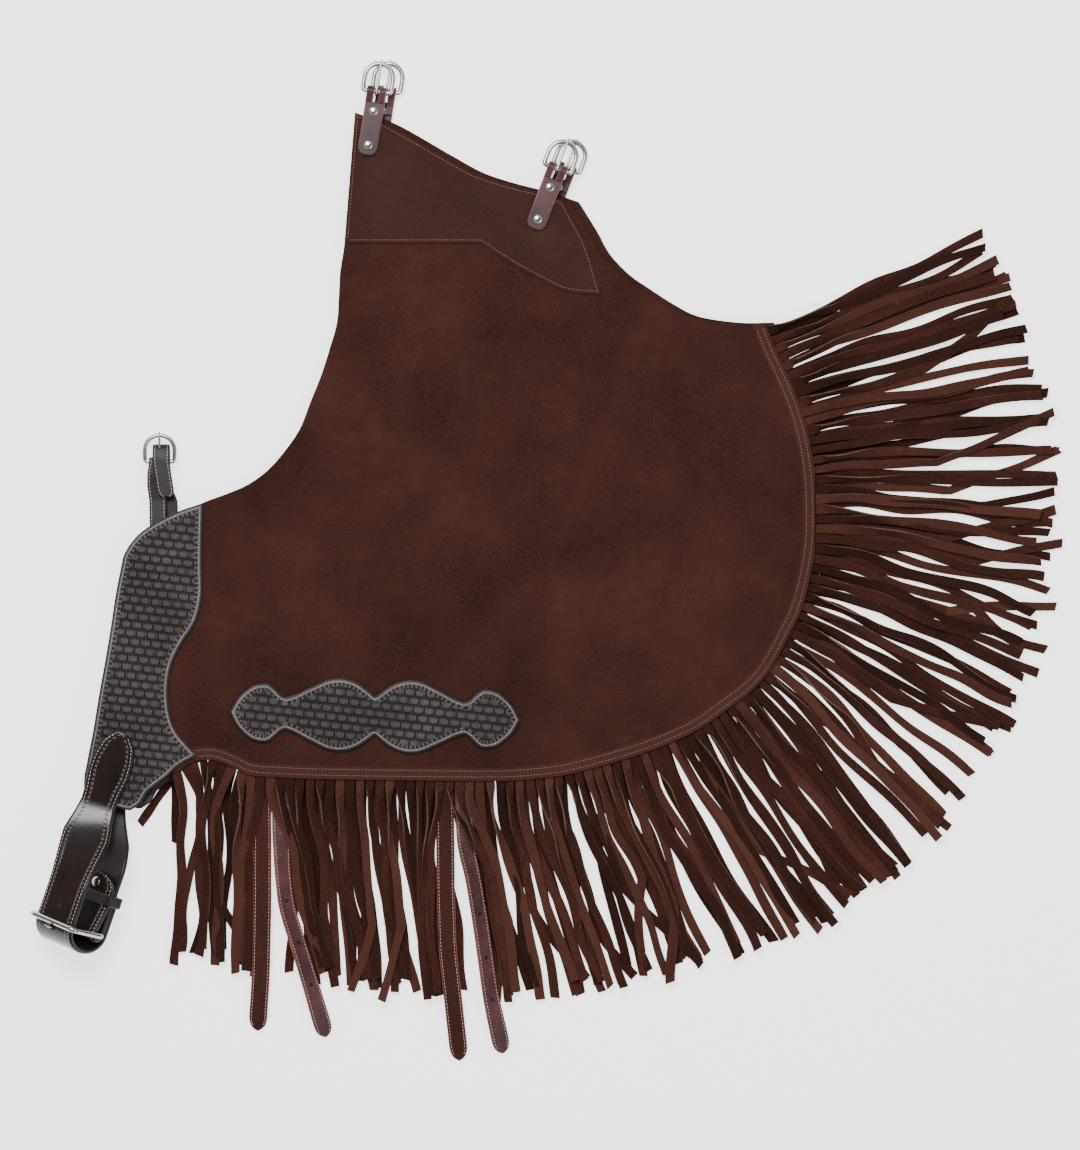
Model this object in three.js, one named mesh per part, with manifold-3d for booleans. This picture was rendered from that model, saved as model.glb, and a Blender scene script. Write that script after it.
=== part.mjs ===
// Chink chaps: a joined pair, folded so that one leg lies flat on the other.
// Millimetres. +X runs from the waist to the hem, +Y from the fringed outer edge to the thigh, +Z up.
// The upper leg has its outer side up, the lower leg is its mirror image and has its outer side down.
import * as THREE from "three";
import { mergeVertices } from "three/addons/utils/BufferGeometryUtils.js";
import Module from "manifold-3d";

const wasm = await Module();
wasm.setup();

// Leather and clearances
const GAP = 0.3; // between pieces that touch
const SUEDE = 1.6; // leg panels
const FACING = 1.6; // thigh facing
const TOOLED = 3.0; // yokes and side plates
const FRINGE_THICKNESS = 1.4;
const STRAP_THICKNESS = 2.4; // leg straps, two plies
const CHAPE_THICKNESS = 2.2;
const BELT_THICKNESS = 4.2;
const FRONT_THICKNESS = 2.0;

// Leg panel
const PANEL_LENGTH = 577; // waist to hem, along X
const PANEL_WIDTH = 588; // outer edge to thigh, along Y
const LOWER_SHIFT_X = 8; // the lower leg shows this much past the upper one
const LOWER_SHIFT_Y = 1;
const SAG = 5; // the upper panel sinks onto the lower one in the open middle
const RIPPLE = 1.2; // soft waves in both panels

// Yoke and side plate
const YOKE_LENGTH = 269;
const YOKE_WIDTH = 104;
const PLATE_LENGTH = 254;
const PLATE_HALF_WIDTH = 32;
const PLATE_TURN = -1.6; // degrees

// Fringe
const FRINGE_LENGTH = 205; // longest strips, at the hem
const STRIP_WIDTH = 7.5;
const STRIP_PITCH = 8.6;
const BAND_WIDTH = 14;
const DESCENT = { lower: 20, upper: 36 }; // length in which a strip comes down from the band
const STRAP_DESCENT = 14;

// Leg straps and their buckles
const LEG_STRAP_WIDTH = 16;
const LEG_STRAP_DROP = 247; // longest strap, past the hem
const CHAPE_WIDTH = 17.3;
const BAR_RADIUS = 2.1; // wire of the leg buckles
const BUCKLE_SIZE = 29; // outside width and outside length
const TONGUE_RADIUS = 1.3;
const RIVET_HEAD = 4.4; // radius
const RIVET_POST = 1.6; // radius
const RIVET_HEIGHT = 1.8;
const BURR_HEIGHT = 0.8;
const RIVET_BELOW = 22.7; // lower rivet, from the panel edge
const RIVET_ABOVE = 7.3; // upper rivet, from the panel edge
const BAR_ABOVE = 24.5; // buckle bar, from the panel edge
const CHAPE_END = 9.5; // round end past the lower rivet

// Belt at the back of the waist
const BELT_WIDTH = 44;
const BELT_TILT = 38; // degrees, right edge up where it is buckled
const BELT_FRAME_WIDTH = 58;
const BELT_FRAME_HEIGHT = 45;
const BELT_BAR_RADIUS = 2.5;
const BELT_FOLD = 17; // how far the fold reaches past the buckle
const TURNBACK = 52;
const KEEPER_WIDTH = 9.5;
const KEEPER_THICKNESS = 2.0;
const KEEPER_BACK = 31; // keeper, behind the buckle
const BILLET_TAIL = 38; // billet end, behind the buckle
const BELT_TONGUE_RADIUS = 1.8;
const BELT_BUCKLE_AT = [-126.2, -365.1]; // from the yoke's tip
const BELT_TURN = -108.9; // direction in which the belt runs
const BELT_ROOT = 174; // from the end on the yoke to the buckle
const BELT_SEWN = 63; // length sewn on the yoke

// Front strap
const FRONT_WIDTH = 15;
const FRONT_BAR_RADIUS = 1.9;
const FRONT_BUCKLE_WIDTH = 30;
const FRONT_BUCKLE_LENGTH = 27;
const FRONT_TONGUE_RADIUS = 1.2;
const FRONT_BUCKLE_AT = [-38.3, 36.5]; // from the yoke's tip
const FRONT_ROOT = 73; // from the end under the yoke to the buckle
const FRONT_FOLD = 14.5; // how far the fold reaches past the bar
const FRONT_RETURN = 31; // end of the returned strap, behind the bar
const FRONT_TURNBACK = 15;

const rad = THREE.MathUtils.degToRad;
const clamp = (v) => Math.min(1, Math.max(0, v));
const smooth = (v) => clamp(v) * clamp(v) * (3 - 2 * clamp(v));
const mix = (a, b, t) => a + (b - a) * t;

// Outlines, as shares of PANEL_LENGTH and PANEL_WIDTH: [along, across]
// Waist, crotch curve, thigh tower, thigh edge and inner leg
const INNER_EDGE = [
  [0.0000, 0.0314], [0.0396, 0.4027], [0.0701, 0.4177], [0.1067, 0.4311],
  [0.1372, 0.4446], [0.1677, 0.4671], [0.1951, 0.4985], [0.2149, 0.5284],
  [0.2317, 0.5704], [0.2470, 0.6078], [0.2591, 0.6452], [0.2713, 0.6901],
  [0.2744, 0.7515], [0.2820, 0.8039], [0.2881, 0.8802], [0.2965, 0.9993],
  [0.3521, 0.9775], [0.4299, 0.9341], [0.4771, 0.9087], [0.5213, 0.8937],
  [0.5793, 0.8787], [0.6250, 0.8638], [0.6524, 0.8204], [0.6723, 0.7859],
  [0.7012, 0.7560], [0.7317, 0.7350], [0.7698, 0.7111], [0.8079, 0.6931],
  [0.8689, 0.6841], [0.9223, 0.6841],
];
// Fringed edge, from the waist along the outer side and round the hem
const HEM_EDGE = [
  [0.0000, 0.0135], [0.0274, 0.0150], [0.0503, 0.0290], [0.0762, 0.0329],
  [0.1006, 0.0269], [0.1372, 0.0105], [0.1768, 0.0067], [0.2530, 0.0037],
  [0.3963, 0.0015], [0.4954, 0.0007], [0.5488, 0.0022], [0.6128, 0.0090],
  [0.6707, 0.0225], [0.7363, 0.0419], [0.7866, 0.0614], [0.8262, 0.0808],
  [0.8689, 0.1108], [0.9024, 0.1362], [0.9314, 0.1692], [0.9619, 0.2246],
  [0.9787, 0.2605], [0.9916, 0.3099], [0.9992, 0.3593], [1.0000, 0.4057],
  [0.9979, 0.4581], [0.9893, 0.5120], [0.9756, 0.5599], [0.9573, 0.6048],
  [0.9360, 0.6497], [0.9223, 0.6841],
];
// Lower edge of the thigh facing, then its free right edge
const FACING_LOW = [
  [0.2820, 0.8039], [0.4889, 0.8039], [0.5351, 0.7740], [0.5945, 0.7425], [0.6235, 0.7313], [0.6723, 0.7268],
];
const FACING_RIGHT = [[0.6143, 0.8668], [0.6311, 0.8368], [0.6524, 0.7949], [0.6723, 0.7290]];

const onPanel = ([along, across]) => new THREE.Vector2(along * PANEL_LENGTH, across * PANEL_WIDTH);
const innerEdge = INNER_EDGE.map(onPanel);
const hemEdge = HEM_EDGE.map(onPanel);
const facingLow = FACING_LOW.map(onPanel);
const facingRight = FACING_RIGHT.map(onPanel);

// Height of an edge over a place on X, by straight steps between its points
function edgeAt(edge, x) {
  for (let i = 1; i < edge.length; i++) {
    const [a, b] = [edge[i - 1], edge[i]];
    if (x <= b.x && x >= a.x && b.x > a.x) return mix(a.y, b.y, (x - a.x) / (b.x - a.x));
  }
  return x < edge[0].x ? edge[0].y : edge[edge.length - 1].y;
}

// Heights above the surface that the pair lies on
const INSIDE_LOWER = TOOLED + GAP + SUEDE; // inner face of the lower panel
const INSIDE_UPPER = INSIDE_LOWER + 2 * (GAP + FRINGE_THICKNESS) + STRAP_THICKNESS + 2 * GAP;
const YOKE_LIFT = 1.45 * (BELT_THICKNESS + GAP); // the belt end lies under the lower yoke
const LIFT_FADE = [0.0701, 0.45]; // shares of the length where that lift fades out
const YOKE_TIP = [0.0671, 0.4154]; // shares of the panel
const CHAPE_FACE = SUEDE + FACING + 2 * GAP; // from the panel's inner face
const CHAPE_REACH = CHAPE_FACE + BAR_RADIUS + GAP + Math.max(CHAPE_THICKNESS, 2 * TONGUE_RADIUS);
const TOWER_LIFT = CHAPE_REACH - INSIDE_LOWER; // the lower leg's buckles lie under its panel
const TOWER_RISE = [0.3, 0.823]; // shares of the width
const TOWER_SIDE = 0.62; // share of the length past which the lift fades towards the hem
const TOWER_FALL = 2.43; // how fast
const UPPER_TILT = 0.35; // share of that lift that the upper leg takes
const HOLLOW_CENTRE = [0.61, 0.45]; // where the upper panel sinks
const HOLLOW_RADII = [0.358, 0.262];

const yokeTip = onPanel(YOKE_TIP);
const yokeAim = new THREE.Vector2(-0.302, -0.953); // from the yoke's tip to the belt

const upper = { name: "upper", side: 1, base: INSIDE_UPPER, x: 0, y: 0, sag: SAG, tilt: UPPER_TILT };
const lower = { name: "lower", side: -1, base: INSIDE_LOWER, x: LOWER_SHIFT_X, y: LOWER_SHIFT_Y, sag: 0, tilt: 1 };

// Height of a leg's inner face: flat, raised at the waist and at the thigh, soft in the middle
function inside(leg, x, y) {
  const along = x / PANEL_LENGTH;
  const across = y / PANEL_WIDTH;
  const down = ((x - yokeTip.x) * yokeAim.x + (y - yokeTip.y) * yokeAim.y) / YOKE_LENGTH;
  const fade = 1 - clamp((along - LIFT_FADE[0]) / (LIFT_FADE[1] - LIFT_FADE[0]));
  const waist = YOKE_LIFT * Math.max(0, down) * fade;
  const rise = (across - TOWER_RISE[0]) / (TOWER_RISE[1] - TOWER_RISE[0]);
  const thigh = TOWER_LIFT * Math.max(0, rise - TOWER_FALL * Math.max(0, along - TOWER_SIDE));
  const offX = (along - HOLLOW_CENTRE[0]) / HOLLOW_RADII[0];
  const offY = (across - HOLLOW_CENTRE[1]) / HOLLOW_RADII[1];
  const hollow = Math.max(0, 1 - offX * offX - offY * offY) ** 2;
  const wave = Math.sin(13 * along + 5 * across) + Math.sin(9 * along - 14 * across);
  return leg.base + waist + leg.tilt * thigh + hollow * (RIPPLE * wave - leg.sag);
}

// A point of a leg: x and y on its panel, out from the panel's inner face
function onLeg(leg, x, y, out) {
  const z = inside(leg, x + leg.x, y + leg.y) + leg.side * out;
  return new THREE.Vector3(x + leg.x, y + leg.y, z);
}

// One closed surface from points and faces of three or four corners, turned to face out
function surface(points, faces) {
  const index = [];
  for (const face of faces) {
    for (let i = 2; i < face.length; i++) index.push([face[0], face[i - 1], face[i]]);
  }
  const volume = index.reduce((sum, [a, b, c]) => {
    return sum + points[a].dot(new THREE.Vector3().crossVectors(points[b], points[c]));
  }, 0);
  const order = volume < 0 ? index.map(([a, b, c]) => [a, c, b]) : index;
  const geometry = new THREE.BufferGeometry();
  geometry.setAttribute("position", new THREE.Float32BufferAttribute(points.flatMap((p) => p.toArray()), 3));
  geometry.setIndex(order.flat());
  return geometry;
}

// A sheet between two edges: rows of points from one edge to the other, on two levels
function sheet(leg, edgeA, edgeB, rows, from, to) {
  const columns = edgeA.length;
  const points = [];
  for (const out of [from, to]) {
    for (let i = 0; i < columns; i++) {
      for (let j = 0; j < rows; j++) {
        const t = j / (rows - 1);
        points.push(onLeg(leg, mix(edgeA[i].x, edgeB[i].x, t), mix(edgeA[i].y, edgeB[i].y, t), out));
      }
    }
  }
  const at = (level, i, j) => (level * columns + i) * rows + j;
  const faces = [];
  for (let i = 1; i < columns; i++) {
    for (let j = 1; j < rows; j++) {
      faces.push([at(0, i, j), at(0, i, j - 1), at(0, i - 1, j - 1), at(0, i - 1, j)]);
      faces.push([at(1, i - 1, j), at(1, i - 1, j - 1), at(1, i, j - 1), at(1, i, j)]);
    }
    faces.push([at(0, i, 0), at(1, i, 0), at(1, i - 1, 0), at(0, i - 1, 0)]);
    faces.push([at(0, i - 1, rows - 1), at(1, i - 1, rows - 1), at(1, i, rows - 1), at(0, i, rows - 1)]);
  }
  for (let j = 1; j < rows; j++) {
    const end = columns - 1;
    faces.push([at(0, 0, j - 1), at(1, 0, j - 1), at(1, 0, j), at(0, 0, j)]);
    faces.push([at(0, end, j), at(1, end, j), at(1, end, j - 1), at(0, end, j - 1)]);
  }
  return surface(points, faces);
}

// A strap: sections with a middle, a direction across, a direction up, a half width and a thickness
function strap(sections) {
  const points = [];
  for (const { at, across, up, half, thick } of sections) {
    for (const [u, v] of [[-1, -1], [1, -1], [1, 1], [-1, 1]]) {
      points.push(at.clone().addScaledVector(across, u * half).addScaledVector(up, (v * thick) / 2));
    }
  }
  const last = 4 * (sections.length - 1);
  const faces = [[3, 2, 1, 0], [last, last + 1, last + 2, last + 3]];
  for (let i = 4; i <= last; i += 4) {
    for (let k = 0; k < 4; k++) {
      const next = (k + 1) % 4;
      faces.push([i - 4 + k, i - 4 + next, i + next, i + k]);
    }
  }
  return surface(points, faces);
}

// Solids that are joined or cut
function toSolid(geometry) {
  const bare = geometry.clone();
  bare.deleteAttribute("normal");
  bare.deleteAttribute("uv");
  const merged = mergeVertices(bare, 1e-4);
  return new wasm.Manifold(new wasm.Mesh({
    numProp: 3,
    vertProperties: new Float32Array(merged.attributes.position.array),
    triVerts: new Uint32Array(merged.index.array),
  }));
}

function toGeometry(solid) {
  const { vertProperties, triVerts } = solid.getMesh();
  const geometry = new THREE.BufferGeometry();
  geometry.setAttribute("position", new THREE.BufferAttribute(new Float32Array(vertProperties), 3));
  geometry.setIndex(new THREE.BufferAttribute(new Uint32Array(triVerts), 1));
  return geometry;
}

function cut(geometry, ...tools) {
  return toGeometry(tools.reduce((solid, tool) => solid.subtract(toSolid(tool)), toSolid(geometry)));
}

function join(geometry, ...others) {
  return toGeometry(others.reduce((solid, other) => solid.add(toSolid(other)), toSolid(geometry)));
}

// A closed wire ring through points in one plane
function wire(points, radius, steps, sides) {
  const route = new THREE.CatmullRomCurve3(points, true, "centripetal");
  return new THREE.TubeGeometry(route, steps, radius, sides, true);
}

// A round rod from one point to another, with its own radius at each end
function rod(from, to, radiusFrom, radiusTo, sides) {
  const length = from.distanceTo(to);
  const geometry = new THREE.CylinderGeometry(radiusTo, radiusFrom, length, sides);
  const aim = to.clone().sub(from).normalize();
  geometry.applyQuaternion(new THREE.Quaternion().setFromUnitVectors(new THREE.Vector3(0, 1, 0), aim));
  const middle = from.clone().add(to).multiplyScalar(0.5);
  return geometry.translate(middle.x, middle.y, middle.z);
}

function block(low, high) {
  const size = [0, 1, 2].map((i) => high[i] - low[i]);
  const middle = [0, 1, 2].map((i) => (high[i] + low[i]) / 2);
  return new THREE.BoxGeometry(...size).translate(...middle);
}

const vec = (x, y, z) => new THREE.Vector3(x, y, z);
const ACROSS = vec(1, 0, 0);
const UP = vec(0, 0, 1);

// Finishes
const suede = new THREE.MeshStandardMaterial({ color: "#4a2a24", roughness: 0.95 });
const tooled = new THREE.MeshStandardMaterial({ color: "#4b4546", roughness: 0.6 });
const harness = new THREE.MeshStandardMaterial({ color: "#2a1a18", roughness: 0.35 });
const latigo = new THREE.MeshStandardMaterial({ color: "#55303a", roughness: 0.5 });
const nickel = new THREE.MeshStandardMaterial({ color: "#c8c8c8", roughness: 0.2, metalness: 1 });

const chaps = new THREE.Group();

function add(name, geometry, material, parent = chaps) {
  const mesh = new THREE.Mesh(geometry, material);
  mesh.name = name;
  parent.add(mesh);
  return mesh;
}

// Leg panel: columns along X where the outline bends
const CORNERS = [0, 0.0396, 0.2965, 0.625, 0.9223];
const COLUMN_SPACING = 12;
const PANEL_ROWS = 6;
const HEM_TIP = 0.9995; // share of the length at which the last column stands

function panelColumns() {
  const isCorner = (share) => CORNERS.includes(share);
  const shares = [...INNER_EDGE, ...HEM_EDGE].map(([along]) => along).filter((s) => s < HEM_TIP - 0.004);
  const columns = [];
  for (const share of [...new Set(shares)].sort((a, b) => a - b)) {
    const last = columns[columns.length - 1];
    const wide = last === undefined || (share - last) * PANEL_LENGTH >= COLUMN_SPACING;
    if (wide) columns.push(share);
    else if (isCorner(share) && isCorner(last)) columns.push(share);
    else if (isCorner(share)) columns[columns.length - 1] = share;
  }
  columns.push(HEM_TIP);
  return columns.map((share) => share * PANEL_LENGTH);
}

const hemLow = hemEdge.slice(0, 24); // to the hem's furthest point
const hemHigh = hemEdge.slice(23).reverse();
const topEdge = [...innerEdge, ...hemHigh.slice(1)];

// Places of the two chapes, on the thigh edge, with the turn of their axis from +Y
const CHAPES = [
  { place: "high", edge: [0.3247, 0.988], turn: -9 },
  { place: "low", edge: [0.5902, 0.8751], turn: -21 },
];

// A point on a chape's axis, above or below the panel edge
function onChape(chape, above) {
  const [x, y] = onPanel(chape.edge).toArray();
  const turn = rad(chape.turn);
  return new THREE.Vector2(x - above * Math.sin(turn), y + above * Math.cos(turn));
}

// Upright drills for the rivets that go through a leg
function rivetDrills(leg) {
  return CHAPES.map((chape) => {
    const hole = onChape(chape, -RIVET_BELOW);
    const z = inside(leg, hole.x + leg.x, hole.y + leg.y);
    const reach = leg.side * 4 * SUEDE;
    const from = vec(hole.x + leg.x, hole.y + leg.y, z - reach);
    return rod(from, from.clone().setZ(z + reach), RIVET_POST + GAP, RIVET_POST + GAP, 8);
  });
}

function legPanel(leg) {
  const xs = panelColumns();
  const low = xs.map((x) => new THREE.Vector2(x, edgeAt(hemLow, x)));
  const high = xs.map((x) => new THREE.Vector2(x, edgeAt(topEdge, x)));
  const geometry = sheet(leg, low, high, PANEL_ROWS, 0, SUEDE);
  add(`${leg.name}_leg_panel`, cut(geometry, ...rivetDrills(leg)), suede);
}

// Thigh facing, stitched on the outer side of the tower
const FACING_COLUMNS = [0.282, 0.2881, 0.2965, 0.3521, 0.4299, 0.4889, 0.5351, 0.5793, 0.6143, 0.6311, 0.6524, 0.67];

function thighFacing(leg) {
  const xs = FACING_COLUMNS.map((share) => share * PANEL_LENGTH);
  const start = facingRight[0].x;
  const low = xs.map((x) => new THREE.Vector2(x, edgeAt(facingLow, x)));
  const high = xs.map((x) => new THREE.Vector2(x, x < start ? edgeAt(innerEdge, x) : edgeAt(facingRight, x)));
  high[0].y = low[0].y + 1;
  const geometry = sheet(leg, low, high, 3, SUEDE + GAP, SUEDE + GAP + FACING);
  add(`${leg.name}_thigh_facing`, cut(geometry, ...rivetDrills(leg)), suede);
}

// Yoke sections as shares of its length and width, from its tip: [down, waist side, leg side]
const YOKE_SECTIONS = [
  [0, -0.0085, 0], [0.0278, -0.2153, -0.0017], [0.0704, -0.4322, -0.0042], [0.108, -0.5593, -0.0068],
  [0.162, -0.6585, -0.0085], [0.2111, -0.6915, -0.0085], [0.3028, -0.7373, -0.0085],
  [0.3879, -0.7695, -0.0636], [0.4534, -0.7966, -0.172], [0.5221, -0.8263, -0.2585],
  [0.5974, -0.8619, -0.2915], [0.6792, -0.8966, -0.2797], [0.7466, -0.9254, -0.2153],
  [0.8216, -0.9636, -0.0466], [0.856, -0.9797, -0.2034], [0.892, -0.9966, -0.3051],
  [0.9378, -0.9975, -0.4576], [0.9574, -0.9746, -0.4915], [0.9804, -0.8136, -0.5297],
  [1, -0.6356, -0.6017],
];
const TOOLED_FROM = SUEDE + GAP;
const TOOLED_TO = TOOLED_FROM + TOOLED;

// A place on the yoke: shares down from its tip and across to the leg
const onYoke = (down, across) =>
  new THREE.Vector2(yokeTip.x + across * YOKE_WIDTH, yokeTip.y - down * YOKE_LENGTH);

function yoke(leg) {
  const waist = YOKE_SECTIONS.map(([down, a]) => onYoke(down, a));
  const legSide = YOKE_SECTIONS.map(([down, , b]) => onYoke(down, b));
  add(`${leg.name}_yoke`, sheet(leg, waist, legSide, 3, TOOLED_FROM, TOOLED_TO), tooled);
}

// Side plate: half widths from its middle to its point, as shares: [along, half width]
const PLATE_SCALLOPS = [
  [0, 0.522], [0.042, 0.659], [0.111, 0.852], [0.18, 0.962], [0.249, 1], [0.332, 0.948], [0.415, 0.797],
  [0.484, 0.668], [0.554, 0.522], [0.616, 0.44], [0.644, 0.481], [0.685, 0.632], [0.727, 0.769],
  [0.775, 0.802], [0.844, 0.742], [0.907, 0.563], [0.955, 0.357], [1, 0.027],
];
const PLATE_CENTRE = [0.3285, 0.0981]; // shares of the panel

function sidePlate(leg) {
  const centre = onPanel(PLATE_CENTRE);
  const aim = new THREE.Vector2(Math.cos(rad(PLATE_TURN)), Math.sin(rad(PLATE_TURN)));
  const mirrored = PLATE_SCALLOPS.slice(1).reverse().map(([along, half]) => [-along, half]);
  const edge = (side) => [...mirrored, ...PLATE_SCALLOPS].map(([along, half]) => {
    const u = (along * PLATE_LENGTH) / 2;
    const v = side * half * PLATE_HALF_WIDTH;
    return new THREE.Vector2(centre.x + u * aim.x - v * aim.y, centre.y + u * aim.y + v * aim.x);
  });
  add(`${leg.name}_side_plate`, sheet(leg, edge(-1), edge(1), 2, TOOLED_FROM, TOOLED_TO), tooled);
}

// Leg straps: root and hem crossing as shares of the panel, drop as a share of LEG_STRAP_DROP
// route: [down the drop, sideways], both as shares of the drop
const LEG_STRAPS = [
  { leg: lower, place: "high", root: [0.1494, 0.0988], hem: 0.1555, drop: 0.907,
    route: [[0, 0], [0.204, 0.003], [0.5, 0.003], [0.788, -0.003], [1, -0.017]] },
  { leg: upper, place: "high", root: [0.1814, 0.0988], hem: 0.1852, drop: 0.931,
    route: [[0, 0], [0.153, 0], [0.35, 0.005], [0.494, 0.021], [0.678, 0.079], [0.839, 0.128], [1, 0.174]] },
  { leg: lower, place: "low", root: [0.4329, 0.0958], hem: 0.4329, drop: 1,
    route: [[0, 0], [0.125, 0.005], [0.388, 0.007], [0.605, 0.014], [0.765, 0.032], [1, 0.057]] },
  { leg: upper, place: "low", root: [0.4604, 0.0958], hem: 0.4634, drop: 0.976,
    route: [[0, 0], [0.234, 0.007], [0.361, 0.036], [0.522, 0.062], [0.785, 0.0985], [1, 0.145]] },
];
const STRAP_TIP = [[0.85, 1], [0.45, 0.88], [0.16, 0.55], [0, 0.12]]; // strap widths from the end, half width
const HOLE_RADIUS = 1.8;
const HOLE_PITCH = 38;
const FIRST_HOLE = 49; // from the tip
const HOLES = 3;

// Levels of the loose strips and straps below the hem
const LAYER = FRINGE_THICKNESS + GAP;
const STRAP_LEVEL = 4 * LAYER; // on two layers of strips of each leg
const OVER_STRAPS = STRAP_LEVEL + STRAP_THICKNESS + GAP;

const dropOf = (item) => item.drop * LEG_STRAP_DROP;
const hemYAt = (x) => edgeAt(hemLow, x);

// X of a strap's middle at a distance below the hem
function strapX(item, down) {
  const share = down / dropOf(item);
  const rows = item.route;
  const next = Math.max(1, rows.findIndex(([at]) => at >= share));
  const [a, b] = share >= 1 ? rows.slice(-2) : [rows[next - 1], rows[next]];
  const side = mix(a[1], b[1], (share - a[0]) / (b[0] - a[0]));
  return item.hem * PANEL_LENGTH + side * dropOf(item);
}

function legStrap(item) {
  const drop = dropOf(item);
  const root = onPanel(item.root);
  const hemX = item.hem * PANEL_LENGTH;
  const hemY = hemYAt(hemX);
  const half = LEG_STRAP_WIDTH / 2;
  const attach = (x, y) => {
    const out = item.leg === upper ? -GAP - STRAP_THICKNESS : GAP;
    return inside(item.leg, x, y) + out;
  };
  const between = (x, y) => inside(lower, x, y) + FRINGE_THICKNESS + 2 * GAP;
  const inner = hemY + BAND_WIDTH + 8;
  const sections = [];
  const put = (x, y, z, width) => {
    sections.push({ at: vec(x, y, z + STRAP_THICKNESS / 2), across: ACROSS, up: UP, half: width, thick: STRAP_THICKNESS });
  };
  put(root.x, root.y + half, attach(root.x, root.y + half), half);
  put(mix(root.x, hemX, 0.4), inner + BAND_WIDTH, attach(mix(root.x, hemX, 0.4), inner + BAND_WIDTH), half);
  put(hemX, inner, between(hemX, inner), half);
  put(hemX, hemY, between(hemX, hemY), half);
  const landing = Math.min(FRINGE_LENGTH, drop - 1.2 * LEG_STRAP_WIDTH);
  const zAt = (down) => mix(STRAP_LEVEL, 2 * GAP, smooth((down - landing) / (drop - landing)));
  const downs = item.route.slice(1, -1).map(([share]) => share * drop);
  downs.unshift(STRAP_DESCENT);
  downs.push(landing);
  const tips = STRAP_TIP.map(([back, width]) => [drop - back * LEG_STRAP_WIDTH, width]);
  const rows = downs.filter((d, i) => i === 0 || d > STRAP_DESCENT + 5).map((d) => [d, 1]);
  const ordered = rows.filter(([d]) => d < tips[0][0] - 5).sort((a, b) => a[0] - b[0]);
  for (const [d, width] of [...ordered.filter(([d], i) => i === 0 || d - ordered[i - 1][0] > 4), ...tips]) {
    put(strapX(item, d), hemY - d, zAt(d), half * width);
  }
  const drills = [];
  for (let i = 0; i < HOLES; i++) {
    const d = drop - FIRST_HOLE - i * HOLE_PITCH;
    const at = vec(strapX(item, d), hemY - d, 0);
    drills.push(rod(at.clone().setZ(-STRAP_LEVEL), at.clone().setZ(4 * STRAP_LEVEL), HOLE_RADIUS, HOLE_RADIUS, 6));
  }
  add(`${item.leg.name}_leg_strap_${item.place}`, cut(strap(sections), ...drills), item.leg === upper ? latigo : suede);
}

// Fringe as it fans out round the hem: [share of the hem, share of FRINGE_LENGTH, direction in degrees]
const FAN = [
  [0, 0.8, -92], [0.042, 0.82, -91.5], [0.144, 0.86, -84.3], [0.244, 0.9, -81.8], [0.343, 0.93, -73.8],
  [0.443, 0.92, -65.2], [0.554, 0.98, -53.9], [0.648, 1, -46.7], [0.706, 0.98, -28.8],
  [0.777, 0.99, -12.5], [0.847, 1, 0], [1, 0.99, 25.8],
];
const FRINGE_START = { upper: 0.012, lower: 0.02 };
const SPLICE = 0.328; // where the side fringe ends and the hem fringe starts
const FRINGE_END = 0.997;
const DRIFT = 3; // sideways, at its tip
const LENGTH_SPREAD = 0.04;

const hemReach = [0];
for (let i = 1; i < hemEdge.length; i++) hemReach.push(hemReach[i - 1] + hemEdge[i].distanceTo(hemEdge[i - 1]));
const HEM_RUN = hemReach[hemReach.length - 1];

// Point and direction of the hem at a distance along it
function hemAt(run) {
  const i = Math.min(hemEdge.length - 1, Math.max(1, hemReach.findIndex((reach) => reach >= run)));
  const [a, b] = [hemEdge[i - 1], hemEdge[i]];
  const t = (run - hemReach[i - 1]) / (hemReach[i] - hemReach[i - 1]);
  return { point: a.clone().lerp(b, t), aim: b.clone().sub(a).normalize() };
}

function fan(share) {
  const next = Math.max(1, FAN.findIndex(([at]) => at >= share));
  const [a, b] = [FAN[next - 1], FAN[next]];
  const t = (share - a[0]) / (b[0] - a[0]);
  return { length: mix(a[1], b[1], t) * FRINGE_LENGTH, turn: rad(mix(a[2], b[2], t)) };
}

// A steady spread of values between -1 and 1
const spread = (i, k) => Math.sin(i * (2.4 + 1.1 * k) + 1.7 * k);

// Strips that start over a pair of leg straps step aside and lie on the other strips
const PAIRS = [[LEG_STRAPS[0], LEG_STRAPS[1]], [LEG_STRAPS[2], LEG_STRAPS[3]]];
const STEP_ASIDE = 60; // below the hem, a strip has left the strap here
const STEP_DOWN = 95; // and lies on the others here
const LEAN = 0.25; // strips lean towards the hem by this much for each millimetre down

function asideOf(x) {
  const room = (LEG_STRAP_WIDTH + STRIP_WIDTH) / 2 + GAP;
  for (const [left, right] of PAIRS) {
    const low = strapX(left, 0) - room - LEAN * DESCENT.upper;
    const high = strapX(right, 0) + room;
    if (x > low && x < high) {
      const side = x < (low + high) / 2 ? -1 : 1;
      const order = Math.floor(Math.abs(x - (low + high) / 2) / STRIP_PITCH);
      const item = side < 0 ? left : right;
      return (down) => strapX(item, down) + side * (room + 2 * GAP + order * (STRIP_WIDTH + 2 * GAP));
    }
  }
  return null;
}

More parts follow.
